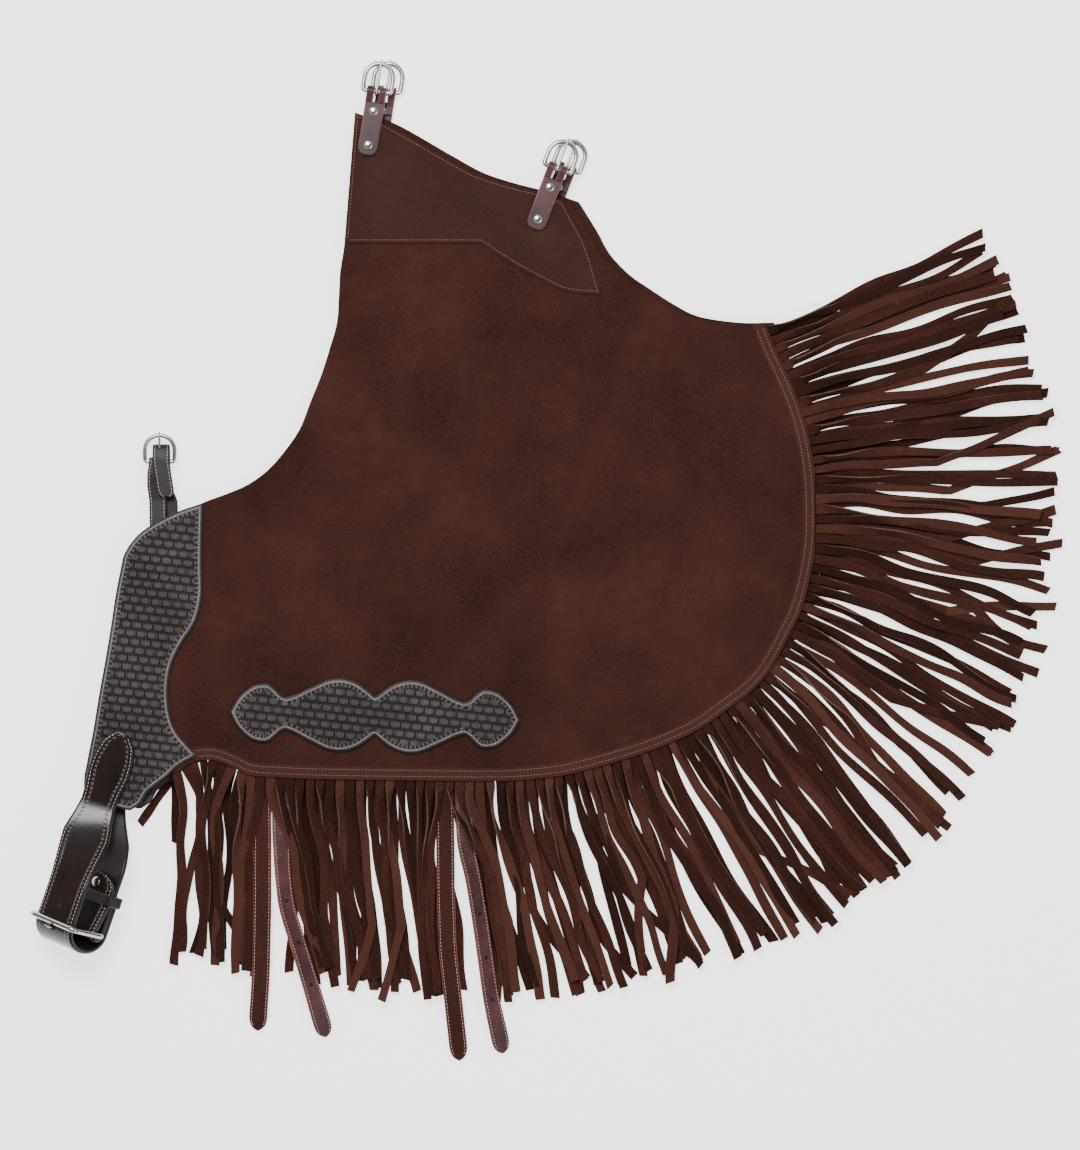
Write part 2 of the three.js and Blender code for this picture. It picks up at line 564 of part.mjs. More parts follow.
// Stations of one strip: middle, half of its width as a vector, height of its underside
function strip(leg, index, run) {
  const { length, turn } = fan(run / HEM_RUN);
  const root = hemAt(run);
  const reach = length * (1 + LENGTH_SPREAD * spread(index, 3));
  const aim = new THREE.Vector2(Math.cos(turn), Math.sin(turn));
  const side = new THREE.Vector2(-aim.y, aim.x);
  const level = ((leg === upper ? 2 : 0) + (index % 2)) * LAYER;
  const aside = leg === upper ? asideOf(root.point.x) : null;
  const descent = DESCENT[leg.name];
  const past = [STEP_ASIDE, STEP_DOWN, (STEP_DOWN + reach) / 2, reach];
  const downs = aside ? [descent, ...past] : [descent, reach];
  return downs.map((down) => {
    const share = (down - descent) / (reach - descent);
    const wander = DRIFT * share * spread(index, 2);
    const at = root.point.clone().addScaledVector(aim, down).addScaledVector(side, wander);
    if (aside) {
      const x = down <= descent ? root.point.x : aside(down);
      at.set(x, root.point.y - down);
      const z = down <= STEP_ASIDE ? OVER_STRAPS : STRAP_LEVEL;
      return { at, half: new THREE.Vector2(STRIP_WIDTH / 2, 0), z };
    }
    return { at, half: side.clone().multiplyScalar(STRIP_WIDTH / 2), z: level };
  });
}

// A sewn-in band with its strips, one solid
function fringe(leg, name, from, to) {
  const count = Math.floor(((to - from) * HEM_RUN) / STRIP_PITCH);
  const pitch = ((to - from) * HEM_RUN - 2 * GAP) / count;
  const start = from * HEM_RUN + GAP;
  const points = [];
  const faces = [];
  const rest = (x, y) => inside(leg, x, y) + (leg === upper ? -GAP - FRINGE_THICKNESS : GAP);
  // Adds a point on both faces of the leather and gives the number of the lower one
  const pair = (x, y, z) => {
    points.push(vec(x, y, z), vec(x, y, z + FRINGE_THICKNESS));
    return points.length - 2;
  };
  const wall = (a, b) => faces.push([a, b, b + 1, a + 1]);
  const onHem = (run, inward) => {
    const { point, aim } = hemAt(run);
    const x = point.x + leg.x - aim.y * inward;
    const y = point.y + leg.y + aim.x * inward;
    return pair(x, y, rest(x, y));
  };
  const under = leg === upper ? 1 : -2 * GAP; // where the strips leave the panel's edge
  const inner = [];
  for (let i = 0; i <= count; i++) inner.push(onHem(start + i * pitch, BAND_WIDTH));
  let before = null;
  for (let i = 0; i < count; i++) {
    const run = start + (i + 0.5) * pitch;
    const left = onHem(run - STRIP_WIDTH / 2, under);
    const right = onHem(run + STRIP_WIDTH / 2, under);
    faces.push([inner[i], inner[i + 1], right, left], [left + 1, right + 1, inner[i + 1] + 1, inner[i] + 1]);
    wall(inner[i + 1], inner[i]);
    if (before === null) wall(inner[0], left);
    else {
      wall(before, left);
      faces.push([before, inner[i], left], [left + 1, inner[i] + 1, before + 1]);
    }
    let [a, b] = [left, right];
    for (const { at, half, z } of strip(leg, i, run)) {
      const swap = half.dot(hemAt(run).aim) > 0 ? 1 : -1;
      const c = pair(at.x + leg.x - swap * half.x, at.y + leg.y - swap * half.y, z);
      const d = pair(at.x + leg.x + swap * half.x, at.y + leg.y + swap * half.y, z);
      faces.push([a, b, d, c], [c + 1, d + 1, b + 1, a + 1]);
      wall(a, c);
      wall(d, b);
      [a, b] = [c, d];
    }
    wall(a, b);
    before = right;
  }
  wall(before, inner[count]);
  add(name, surface(points, faces), suede);
}

// Buckle sets. Local axes: X across the chape, Y along it from the panel edge to the buckle, Z outward
const SLOT_HALF = 2.3;
const SLOT_FRONT = 9.7; // slot length on the front, from the bar
const RING_RADIUS = BAR_RADIUS + GAP + 1.2;
const RING_HALF = 1.7;
const TONGUE_LENGTH = BUCKLE_SIZE - 0.7;

function rivet(headBase, burrBase) {
  const profile = [
    [0, burrBase - BURR_HEIGHT], [0.8 * RIVET_HEAD, burrBase - BURR_HEIGHT], [0.8 * RIVET_HEAD, burrBase],
    [RIVET_POST, burrBase], [RIVET_POST, headBase], [RIVET_HEAD, headBase],
    [0.9 * RIVET_HEAD, headBase + 0.5 * RIVET_HEIGHT], [0.55 * RIVET_HEAD, headBase + 0.88 * RIVET_HEIGHT],
    [0, headBase + RIVET_HEIGHT],
  ];
  return new THREE.LatheGeometry(profile.map(([r, z]) => new THREE.Vector2(r, z)), 8).rotateX(Math.PI / 2);
}

// A ring round a bar, with a prong from it; the bar lies along X through the origin
function tongue(barRadius, ringRadius, ringHalf, from, to, prongRadius) {
  const hole = barRadius + GAP;
  const profile = [[hole, -ringHalf], [ringRadius, -ringHalf], [ringRadius, ringHalf], [hole, ringHalf], [hole, -ringHalf]];
  const ring = new THREE.LatheGeometry(profile.map(([r, x]) => new THREE.Vector2(r, x)), 10).rotateZ(Math.PI / 2);
  return join(ring, rod(from, to, prongRadius, 0.75 * prongRadius, 6));
}

// Turned-over strap end: middles and directions of its sections round a bar at (y, z)
function roundBar(y, z, radius, from, to, steps) {
  return Array.from({ length: steps + 1 }, (_, i) => {
    const angle = rad(mix(from, to, i / steps));
    const up = vec(0, Math.cos(angle), Math.sin(angle));
    return { at: vec(0, y, z).addScaledVector(up, radius), up };
  });
}

function chape() {
  const half = CHAPE_WIDTH / 2;
  const front = CHAPE_FACE + CHAPE_THICKNESS / 2;
  const wrap = BAR_RADIUS + GAP + CHAPE_THICKNESS / 2;
  const back = CHAPE_FACE - GAP - CHAPE_THICKNESS / 2;
  const clear = RIVET_ABOVE + RIVET_HEAD;
  const end = -RIVET_BELOW - CHAPE_END;
  const flat = (y, z, share, sign) => ({ at: vec(0, y, z), up: vec(0, 0, sign), half: half * share });
  const loop = roundBar(BAR_ABOVE, CHAPE_FACE, wrap, 90, -90, 6).map((s) => ({ ...s, half }));
  const sections = [
    flat(end, front, 0.3, 1), flat(end + 0.12 * CHAPE_WIDTH, front, 0.72, 1), flat(end + 0.35 * CHAPE_WIDTH, front, 1, 1),
    flat(clear, front, 1, 1), ...loop, flat(clear, back, 1, -1),
    flat(RIVET_ABOVE - RIVET_POST - 2 * GAP - 1, back, 1, -1),
  ];
  const drill = (y) => rod(vec(0, y, -30), vec(0, y, 30), RIVET_POST + GAP, RIVET_POST + GAP, 8);
  const slot = block([-SLOT_HALF, BAR_ABOVE - RING_RADIUS - 1, -20], [SLOT_HALF, BAR_ABOVE + 20, 20]);
  const frontSlot = block([-SLOT_HALF, BAR_ABOVE - SLOT_FRONT, CHAPE_FACE], [SLOT_HALF, BAR_ABOVE, 20]);
  const geometry = strap(sections.map((s) => ({ ...s, across: ACROSS, thick: CHAPE_THICKNESS })));
  return cut(geometry, drill(-RIVET_BELOW), drill(RIVET_ABOVE), slot, frontSlot);
}

// Horseshoe frame: straight bar through the origin along X, arc towards +Y
function horseshoe(width, length, radius, steps) {
  const half = width / 2 - radius;
  const spring = length - 2 * radius - half;
  const points = [vec(-half * 0.7, 0, 0), vec(0, 0, 0), vec(half * 0.7, 0, 0), vec(half * 0.94, half * 0.07, 0)];
  points.push(vec(half, half * 0.3, 0));
  for (let i = 0; i <= 6; i++) {
    const angle = (Math.PI * i) / 6;
    points.push(vec(half * Math.cos(angle), spring + half * Math.sin(angle), 0));
  }
  points.push(vec(-half, half * 0.3, 0), vec(-half * 0.94, half * 0.07, 0));
  return wire(points, radius, steps, 6);
}

function buckleSet(leg, { place, edge, turn }) {
  const [x, y] = onPanel(edge).toArray();
  const tilt = (leg.tilt * TOWER_LIFT) / ((TOWER_RISE[1] - TOWER_RISE[0]) * PANEL_WIDTH);
  const seat = new THREE.Group();
  seat.position.copy(onLeg(leg, x, y, 0));
  seat.rotation.set(Math.atan(tilt), 0, rad(turn));
  const face = new THREE.Group();
  face.rotation.y = leg.side > 0 ? 0 : Math.PI;
  seat.add(face);
  chaps.add(seat);
  const name = (piece) => `${leg.name}_${piece}_${place}`;
  add(name("chape"), chape(), latigo, face);
  const headBase = CHAPE_FACE + CHAPE_THICKNESS + GAP;
  add(name("seat_rivet"), rivet(headBase, -GAP), nickel, face).position.y = -RIVET_BELOW;
  const burr = CHAPE_FACE - CHAPE_THICKNESS - 2 * GAP;
  add(name("loop_rivet"), rivet(headBase, burr), nickel, face).position.y = RIVET_ABOVE;
  add(name("buckle"), horseshoe(BUCKLE_SIZE, BUCKLE_SIZE, BAR_RADIUS, 18), nickel, face).position.set(0, BAR_ABOVE, CHAPE_FACE);
  const onArc = BAR_RADIUS + GAP + 0.95 * TONGUE_RADIUS;
  const prong = tongue(BAR_RADIUS, RING_RADIUS, RING_HALF, vec(0, 2.9, 1.9), vec(0, TONGUE_LENGTH, onArc), TONGUE_RADIUS);
  add(name("tongue"), prong, nickel, face).position.set(0, BAR_ABOVE, CHAPE_FACE);
}

// Belt at the back. n runs along the belt to the fold, u across it, v through its layers, down
const beltTurn = rad(BELT_TURN);
const beltTilt = rad(BELT_TILT);
const N = vec(Math.cos(beltTurn), Math.sin(beltTurn), 0);
const SIDE = vec(-N.y, N.x, 0);
const acrossAt = (tilt) => SIDE.clone().multiplyScalar(Math.cos(tilt)).addScaledVector(UP, Math.sin(tilt));
const throughAt = (tilt) => SIDE.clone().multiplyScalar(Math.sin(tilt)).addScaledVector(UP, -Math.cos(tilt));
const U = acrossAt(beltTilt);
const V = throughAt(beltTilt);

// Layers, by their middles on v: the far bar lies on the billet, the heel bar in the turned-back end
const PLY = BELT_THICKNESS + GAP;
const FAR_BAR = -(BELT_THICKNESS / 2 + GAP + BELT_BAR_RADIUS);
const HEEL_BAR = FAR_BAR + BELT_FRAME_HEIGHT - 2 * BELT_BAR_RADIUS;
const HEEL_WRAP = BELT_BAR_RADIUS + GAP + BELT_THICKNESS / 2;
const BUCKLE_PLY = HEEL_BAR + HEEL_WRAP;
const RETURN_PLY = BUCKLE_PLY + PLY;
const BACK_PLY = BUCKLE_PLY - PLY;
const KEEPER_INNER = BACK_PLY - BELT_THICKNESS / 2 - GAP;
const KEEPER_OUTER = RETURN_PLY + BELT_THICKNESS / 2 + GAP;
const KEEPER_HALF = BELT_WIDTH / 2 + GAP;
const lowCorner = (KEEPER_OUTER + KEEPER_THICKNESS) * -V.z + (KEEPER_HALF + KEEPER_THICKNESS) * U.z;
const beltAt = vec(yokeTip.x + BELT_BUCKLE_AT[0], yokeTip.y + BELT_BUCKLE_AT[1], lowCorner);
const inBelt = (u, v, n) => beltAt.clone().addScaledVector(U, u).addScaledVector(V, v).addScaledVector(N, n);

// Half widths of the belt's sewn end: [from its tip, half width], as shares of BELT_WIDTH
const TEARDROP = [
  [0, 0.045], [0.09, 0.2], [0.27, 0.34], [0.57, 0.41], [0.86, 0.42], [1.25, 0.364], [1.5, 0.352], [1.82, 0.41], [2.16, 0.5],
];
const BELT_PRONG = BELT_BAR_RADIUS + GAP + BELT_TONGUE_RADIUS;
const BELT_HOLE = BELT_TONGUE_RADIUS + 2 * GAP;
const SPARE_HOLE = 15; // unused hole, behind the buckle
const BELT_RIVET = 43;
const BELT_SLOT = 2.6;

// Middle and tilt of a belt between its sewn end and its straight part
function beltRun(from, sewnZ, v) {
  const straight = inBelt(0, v, 0);
  return (n) => {
    const start = -BELT_ROOT + BELT_SEWN;
    const t = smooth((n - start) / (from - start));
    const line = vec(beltAt.x, beltAt.y, 0).addScaledVector(N, n);
    const x = mix(line.x + sewnZ.x, straight.x + n * N.x, t);
    const y = mix(line.y + sewnZ.y, straight.y + n * N.y, t);
    return { at: vec(x, y, mix(sewnZ.z(x, y), straight.z, t)), tilt: t * beltTilt };
  };
}

function beltSections(run, stations) {
  return stations.map(([along, half]) => {
    const { at, tilt } = run(along - BELT_ROOT);
    return { at, across: acrossAt(tilt), up: throughAt(tilt).negate(), half, thick: BELT_THICKNESS };
  });
}

const teardrop = TEARDROP.map(([along, half]) => [along * BELT_WIDTH, half * BELT_WIDTH]);
const across = (from, to) => rod(inBelt(0, from, 0), inBelt(0, to, 0), BELT_HOLE, BELT_HOLE, 8);

function upperBelt() {
  const onYokeFace = (x, y) => inside(upper, x, y) + TOOLED_TO + GAP + BELT_THICKNESS / 2;
  const run = beltRun(-KEEPER_BACK, { x: 0, y: 0, z: onYokeFace }, 0);
  const eased = [0.62, 0.7, 0.78].map((share) => [share * BELT_ROOT, BELT_WIDTH / 2]);
  const sections = beltSections(run, [...teardrop, ...eased, [BELT_ROOT, BELT_WIDTH / 2]]);
  for (let angle = 24; angle <= 180; angle += 26) {
    const turn = rad(angle);
    const at = inBelt(0, (RETURN_PLY / 2) * (1 - Math.cos(turn)), BELT_FOLD * Math.sin(turn));
    const along = N.clone().multiplyScalar(BELT_FOLD * Math.cos(turn));
    along.addScaledVector(V, (RETURN_PLY / 2) * Math.sin(turn)).normalize();
    sections.push({ at, across: U, up: along.clone().cross(U), half: BELT_WIDTH / 2, thick: BELT_THICKNESS });
  }
  for (const [back, half] of [[BILLET_TAIL - 12, 1], [BILLET_TAIL - 4, 0.72], [BILLET_TAIL, 0.3]]) {
    const at = inBelt(0, RETURN_PLY, -back);
    sections.push({ at, across: U, up: V, half: (half * BELT_WIDTH) / 2, thick: BELT_THICKNESS });
  }
  const hole = across(-20, 20).translate(...N.clone().multiplyScalar(BELT_PRONG).toArray());
  const spare = across(-20, 20).translate(...N.clone().multiplyScalar(-SPARE_HOLE).toArray());
  add("upper_belt", cut(strap(sections), hole, spare), harness);
}

function lowerBelt() {
  const underYoke = (x, y) => inside(lower, x, y) - TOOLED_TO - GAP - BELT_THICKNESS / 2;
  const run = beltRun(-TURNBACK - 3, { x: LOWER_SHIFT_X, y: LOWER_SHIFT_Y, z: underYoke }, BUCKLE_PLY);
  const eased = [0.6, 0.68].map((share) => [share * BELT_ROOT, BELT_WIDTH / 2]);
  const sections = beltSections(run, [...teardrop, ...eased, [BELT_ROOT, BELT_WIDTH / 2]]);
  sections.forEach((section) => section.up.negate());
  sections.forEach((section) => section.across.negate());
  for (let angle = 36; angle <= 180; angle += 36) {
    const out = V.clone().multiplyScalar(Math.cos(rad(angle))).addScaledVector(N, Math.sin(rad(angle)));
    const at = inBelt(0, HEEL_BAR, 0).addScaledVector(out, HEEL_WRAP);
    sections.push({ at, across: U.clone().negate(), up: out, half: BELT_WIDTH / 2, thick: BELT_THICKNESS });
  }
  const back = [[KEEPER_BACK - 0.8 * KEEPER_WIDTH, 1], [TURNBACK - 12, 1], [TURNBACK - 4, 0.72], [TURNBACK, 0.3]];
  for (const [n, half] of back) {
    const at = inBelt(0, BACK_PLY, -n);
    const up = V.clone().negate();
    sections.push({ at, across: U.clone().negate(), up, half: (half * BELT_WIDTH) / 2, thick: BELT_THICKNESS });
  }
  const slot = inBeltBlock([-BELT_SLOT, BACK_PLY - 4 * PLY, -HEEL_WRAP], [BELT_SLOT, RETURN_PLY, 2 * HEEL_WRAP]);
  const post = RIVET_POST + GAP;
  const drill = rod(inBelt(0, 20, -BELT_RIVET), inBelt(0, 60, -BELT_RIVET), post, post, 8);
  add("lower_belt", cut(strap(sections), slot, drill), harness);
}

// A box given by its corners in (u, v, n)
function inBeltBlock(low, high) {
  const basis = new THREE.Matrix4().makeBasis(U, V, U.clone().cross(V)).setPosition(beltAt);
  const flip = Math.sign(U.clone().cross(V).dot(N));
  const [from, to] = flip > 0 ? [low[2], high[2]] : [-high[2], -low[2]];
  return block([low[0], low[1], from], [high[0], high[1], to]).applyMatrix4(basis);
}

function beltBuckle() {
  const halfU = BELT_FRAME_WIDTH / 2 - BELT_BAR_RADIUS;
  const middle = (FAR_BAR + HEEL_BAR) / 2;
  const halfV = HEEL_BAR - middle;
  const corner = 4.5;
  const points = [];
  for (const [su, sv, first] of [[1, 1, 0], [-1, 1, 90], [-1, -1, 180], [1, -1, 270]]) {
    for (let angle = first; angle <= first + 90; angle += 45) {
      const u = su * (halfU - corner) + corner * Math.cos(rad(angle));
      points.push(inBelt(u, middle + sv * (halfV - corner) + corner * Math.sin(rad(angle)), 0));
    }
    const straight = first % 180 === 0 ? halfU - corner : halfV - corner;
    for (const share of [0.85, 0, -0.85]) {
      const run = share * straight;
      const [u2, v2] = first % 180 === 0 ? [su * run, sv * halfV] : [su * halfU, sv * run];
      points.push(inBelt(u2, middle + v2, 0));
    }
  }
  add("belt_buckle", wire(points, BELT_BAR_RADIUS, 36, 6), nickel);
  const ring = tongue(
    BELT_BAR_RADIUS, HEEL_WRAP - BELT_THICKNESS / 2 + 1.4, 2.1,
    vec(0, 2, BELT_PRONG - 1.2), vec(0, BELT_FRAME_HEIGHT + 1.5, BELT_PRONG), BELT_TONGUE_RADIUS,
  );
  const basis = new THREE.Matrix4().makeBasis(U, V.clone().negate(), N).setPosition(inBelt(0, HEEL_BAR, 0));
  if (basis.determinant() < 0) basis.makeBasis(U.clone().negate(), V.clone().negate(), N).setPosition(inBelt(0, HEEL_BAR, 0));
  add("belt_tongue", ring.applyMatrix4(basis), nickel);
  const outer = KEEPER_THICKNESS;
  const low = -KEEPER_BACK - KEEPER_WIDTH / 2;
  const high = -KEEPER_BACK + KEEPER_WIDTH / 2;
  const shell = inBeltBlock([-KEEPER_HALF - outer, KEEPER_INNER - outer, low], [KEEPER_HALF + outer, KEEPER_OUTER + outer, high]);
  const hollow = inBeltBlock([-KEEPER_HALF, KEEPER_INNER, low - 1], [KEEPER_HALF, KEEPER_OUTER, high + 1]);
  add("belt_keeper", cut(shell, hollow), harness);
  const head = BACK_PLY - BELT_THICKNESS / 2 - GAP;
  const burr = BUCKLE_PLY + BELT_THICKNESS / 2 + GAP;
  const seat = rivet(-head, -burr);
  const out = new THREE.Matrix4().makeBasis(U, U.clone().cross(V), V.clone().negate());
  add("belt_rivet", seat.applyMatrix4(out.setPosition(inBelt(0, 0, -BELT_RIVET))), nickel);
}

// Front strap. n runs along +Y from the buckle's bar to the fold
const frontAt = vec(yokeTip.x + FRONT_BUCKLE_AT[0], yokeTip.y + FRONT_BUCKLE_AT[1], INSIDE_UPPER);
const FRONT_WRAP = FRONT_BAR_RADIUS + GAP + FRONT_THICKNESS / 2;
const FRONT_OUTER = FRONT_WRAP + FRONT_THICKNESS + GAP;
const FRONT_EDGE = FRONT_BUCKLE_AT[1] - 2; // just past the ends of the yokes
const FRONT_SIDE = 1.5; // the two straps lie this much to either side of the buckle's middle

function frontSection(x, n, z, up = UP) {
  const at = frontAt.clone().add(vec(x, n, z));
  return { at, across: ACROSS, up, half: FRONT_WIDTH / 2, thick: FRONT_THICKNESS };
}

function upperFrontStrap() {
  const rootZ = (n) => inside(upper, frontAt.x, frontAt.y + n) + TOOLED_FROM - GAP - FRONT_THICKNESS / 2 - frontAt.z;
  const wrap = roundBar(0, 0, FRONT_WRAP, 90, -90, 6);
  const sections = [
    frontSection(-1, -FRONT_ROOT, rootZ(-FRONT_ROOT)), frontSection(-1.6, -FRONT_EDGE, rootZ(-FRONT_EDGE)),
    frontSection(-3.4, -0.6 * FRONT_EDGE, mix(rootZ(-FRONT_EDGE), FRONT_WRAP, 0.5)),
    frontSection(-3.2, -0.15 * FRONT_ROOT, FRONT_WRAP),
    ...wrap.map(({ at, up }) => frontSection(-FRONT_SIDE, at.y, at.z, up)),
    frontSection(-FRONT_SIDE, -FRONT_TURNBACK, -FRONT_WRAP, UP.clone().negate()),
  ];
  const half = 1.5 + GAP + 0.2;
  const x = frontAt.x;
  const y = frontAt.y;
  const slot = block([x - half, y - FRONT_WRAP - 1.6, 0], [x + half, y + 2 * FRONT_WRAP, 40]);
  add("upper_front_strap", cut(strap(sections), slot), harness);
}

const frontProng = [vec(0, 2.4, 1.4), vec(0, FRONT_BUCKLE_LENGTH - 0.9, FRONT_BAR_RADIUS + GAP + FRONT_TONGUE_RADIUS)];

function lowerFrontStrap() {
  const rootZ = (n) => inside(lower, frontAt.x, frontAt.y + n) - TOOLED_FROM + GAP + FRONT_THICKNESS / 2 - frontAt.z;
  const sections = [
    frontSection(LOWER_SHIFT_X + 1, -FRONT_ROOT, rootZ(-FRONT_ROOT)),
    frontSection(LOWER_SHIFT_X, -FRONT_EDGE, rootZ(-FRONT_EDGE)),
    frontSection(FRONT_SIDE + 1, -0.6 * FRONT_EDGE, -FRONT_OUTER),
  ];
  for (let angle = 0; angle <= 180; angle += 22.5) {
    const turn = rad(angle);
    const up = vec(0, -FRONT_OUTER * Math.sin(turn), FRONT_FOLD * Math.cos(turn)).normalize();
    sections.push(frontSection(FRONT_SIDE, FRONT_FOLD * Math.sin(turn), -FRONT_OUTER * Math.cos(turn), up));
  }
  sections.push(frontSection(FRONT_SIDE + 4.4, -FRONT_RETURN + 2.5, FRONT_OUTER, UP.clone().negate()));
  sections.push({ ...frontSection(FRONT_SIDE + 4.8, -FRONT_RETURN, FRONT_OUTER, UP.clone().negate()), half: FRONT_WIDTH / 3 });
  const radius = FRONT_TONGUE_RADIUS + GAP + 0.2;
  const [from, to] = frontProng.map((point) => point.clone().add(frontAt));
  const hole = rod(from.lerp(to, 0.2), to, radius, radius, 8);
  add("lower_front_strap", cut(strap(sections), hole), harness);
}

function frontBuckle() {
  add("front_buckle", horseshoe(FRONT_BUCKLE_WIDTH, FRONT_BUCKLE_LENGTH, FRONT_BAR_RADIUS, 18), nickel).position.copy(frontAt);
  const ring = tongue(FRONT_BAR_RADIUS, FRONT_BAR_RADIUS + GAP + 1.1, 1.5, ...frontProng, FRONT_TONGUE_RADIUS);
  add("front_tongue", ring, nickel).position.copy(frontAt);
}

for (const leg of [upper, lower]) {
  legPanel(leg);
  thighFacing(leg);
  yoke(leg);
  sidePlate(leg);
  fringe(leg, `${leg.name}_side_fringe`, FRINGE_START[leg.name], SPLICE);
  fringe(leg, `${leg.name}_hem_fringe`, SPLICE, FRINGE_END);
}
LEG_STRAPS.forEach(legStrap);
for (const leg of [upper, lower]) CHAPES.forEach((chape) => buckleSet(leg, chape));
upperBelt();
lowerBelt();
beltBuckle();
upperFrontStrap();
lowerFrontStrap();
frontBuckle();

// The origin stands under the middle of the whole pair
const whole = new THREE.Box3().setFromObject(chaps, true);
const centre = whole.getCenter(vec(0, 0, 0));
chaps.position.set(-centre.x, -centre.y, -whole.min.z);

export default chaps;
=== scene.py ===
"""Chink chaps: a joined pair of short fringed leather chaps, folded flat with one leg on the other."""
import bpy
import numpy as np
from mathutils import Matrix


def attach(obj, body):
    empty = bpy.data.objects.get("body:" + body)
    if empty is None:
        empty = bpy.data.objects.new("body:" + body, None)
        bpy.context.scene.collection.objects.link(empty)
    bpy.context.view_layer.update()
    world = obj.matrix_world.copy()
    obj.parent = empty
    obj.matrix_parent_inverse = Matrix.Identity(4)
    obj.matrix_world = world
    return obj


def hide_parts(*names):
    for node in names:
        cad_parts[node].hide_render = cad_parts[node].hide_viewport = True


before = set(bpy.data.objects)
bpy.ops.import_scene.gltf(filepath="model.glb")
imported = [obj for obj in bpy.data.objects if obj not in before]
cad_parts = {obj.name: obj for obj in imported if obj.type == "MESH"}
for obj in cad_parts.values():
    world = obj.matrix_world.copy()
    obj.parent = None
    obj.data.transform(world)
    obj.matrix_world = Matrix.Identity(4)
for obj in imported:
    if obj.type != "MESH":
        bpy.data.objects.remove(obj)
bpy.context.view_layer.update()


# The table top that the pair lies on. A plain pale board with a matt coat, seen from straight above,
# lit by one broad soft lamp over the waist side and a weaker one opposite, so that shadows stay faint.
def linear(code):
    """The linear colour of an sRGB hex code: each channel raised to 2.4 above the short straight toe."""
    share = np.array([int(code[i:i + 2], 16) for i in (1, 3, 5)]) / 255
    value = np.where(share <= 0.04045, share / 12.92, ((share + 0.055) / 1.055) ** 2.4)
    return (*value.tolist(), 1.0)


def feed(tree, node, inputs):
    """Links an input that is a socket, or a node by its first live output; sets any other on the own
    socket."""
    for key, value in inputs.items():
        if isinstance(value, bpy.types.Node):
            value = next(socket for socket in value.outputs if socket.enabled)
        if isinstance(value, bpy.types.NodeSocket):
            tree.links.new(value, node.inputs[key])
        else:
            node.inputs[key].default_value = value


def add_node(tree, kind, inputs=None, **settings):
    """Adds one shader node with its settings, and feeds its inputs."""
    made = tree.nodes.new("ShaderNode" + kind)
    for key, value in settings.items():
        setattr(made, key, value)
    feed(tree, made, inputs or {})
    return made


def new_material(name):
    """An empty material with its node tree, its surface shader and its output."""
    material = bpy.data.materials.new(name)
    material.use_nodes = True
    tree = material.node_tree
    tree.nodes.clear()
    shader = add_node(tree, "BsdfPrincipled")
    add_node(tree, "OutputMaterial", {"Surface": shader.outputs["BSDF"]})
    return material, tree, shader


def new_object(name, points, faces, materials, face_material=None, smooth=True):
    """A mesh from an array of points and the corner numbers of its faces, as an array or as lists."""
    mesh = bpy.data.meshes.new(name)
    corners = faces if isinstance(faces, list) else faces.tolist()
    mesh.from_pydata(np.reshape(points, (-1, 3)).tolist(), [], corners)
    if face_material is not None:
        mesh.polygons.foreach_set("material_index", np.asarray(face_material, np.int32))
    for material in materials:
        mesh.materials.append(material)
    mesh.polygons.foreach_set("use_smooth", np.full(len(mesh.polygons), smooth))
    mesh.update()
    made = bpy.data.objects.new(name, mesh)
    bpy.context.scene.collection.objects.link(made)
    return made


board_paint, tree, shader = new_material("matt_white_board")
feed(tree, shader, {"Base Color": linear("#f4f4f3"), "Roughness": 0.85, "Emission Color": (1, 1, 1, 1),
                    "Emission Strength": 1.7})
BOARD, BOARD_DROP = 6.0, 0.0004
corners = BOARD * np.array([[-1, -1, 0], [1, -1, 0], [1, 1, 0], [-1, 1, 0]]) - [0, 0, BOARD_DROP]
board = new_object("table_board", corners, np.array([[0, 1, 2, 3]]), [board_paint])


def soft_lamp(name, place, size, power):
    """A square area lamp that points from its place at the middle of the pair."""
    lamp = bpy.data.lights.new(name, "AREA")
    lamp.size = size
    lamp.energy = power
    made = bpy.data.objects.new(name, lamp)
    made.location = place
    aim = -np.array(place)
    made.rotation_euler = (np.arctan2(np.hypot(aim[0], aim[1]), -aim[2]), 0,
                           np.arctan2(aim[1], aim[0]) - np.pi / 2)
    bpy.context.scene.collection.objects.link(made)


soft_lamp("window_lamp", (-0.5, 1.0, 2.2), 1.0, 66)
soft_lamp("fill_lamp", (1.4, -0.9, 1.9), 1.6, 18)
world = bpy.data.worlds.new("pale_room")
world.use_nodes = True
room = world.node_tree
ray = add_node(room, "NewGeometry").outputs["Incoming"]
rise = add_node(room, "SeparateXYZ", {"Vector": ray})
lower_wall = add_node(room, "MapRange",
                      {"Value": rise.outputs["Z"], "From Min": -0.1, "From Max": -0.45, "To Min": 0.12,
                       "To Max": 1.0})
ceiling = add_node(room, "MapRange",
                   {"Value": rise.outputs["Z"], "From Min": -0.8, "From Max": -0.97, "To Min": 1.0,
                    "To Max": 0.3})
glow = add_node(room, "Math", {0: lower_wall, 1: ceiling}, operation="MULTIPLY")
strength = add_node(room, "Math", {0: glow, 1: 0.75}, operation="MULTIPLY")
feed(room, room.nodes["Background"], {"Color": (1, 1, 1, 1), "Strength": strength})
bpy.context.scene.world = world

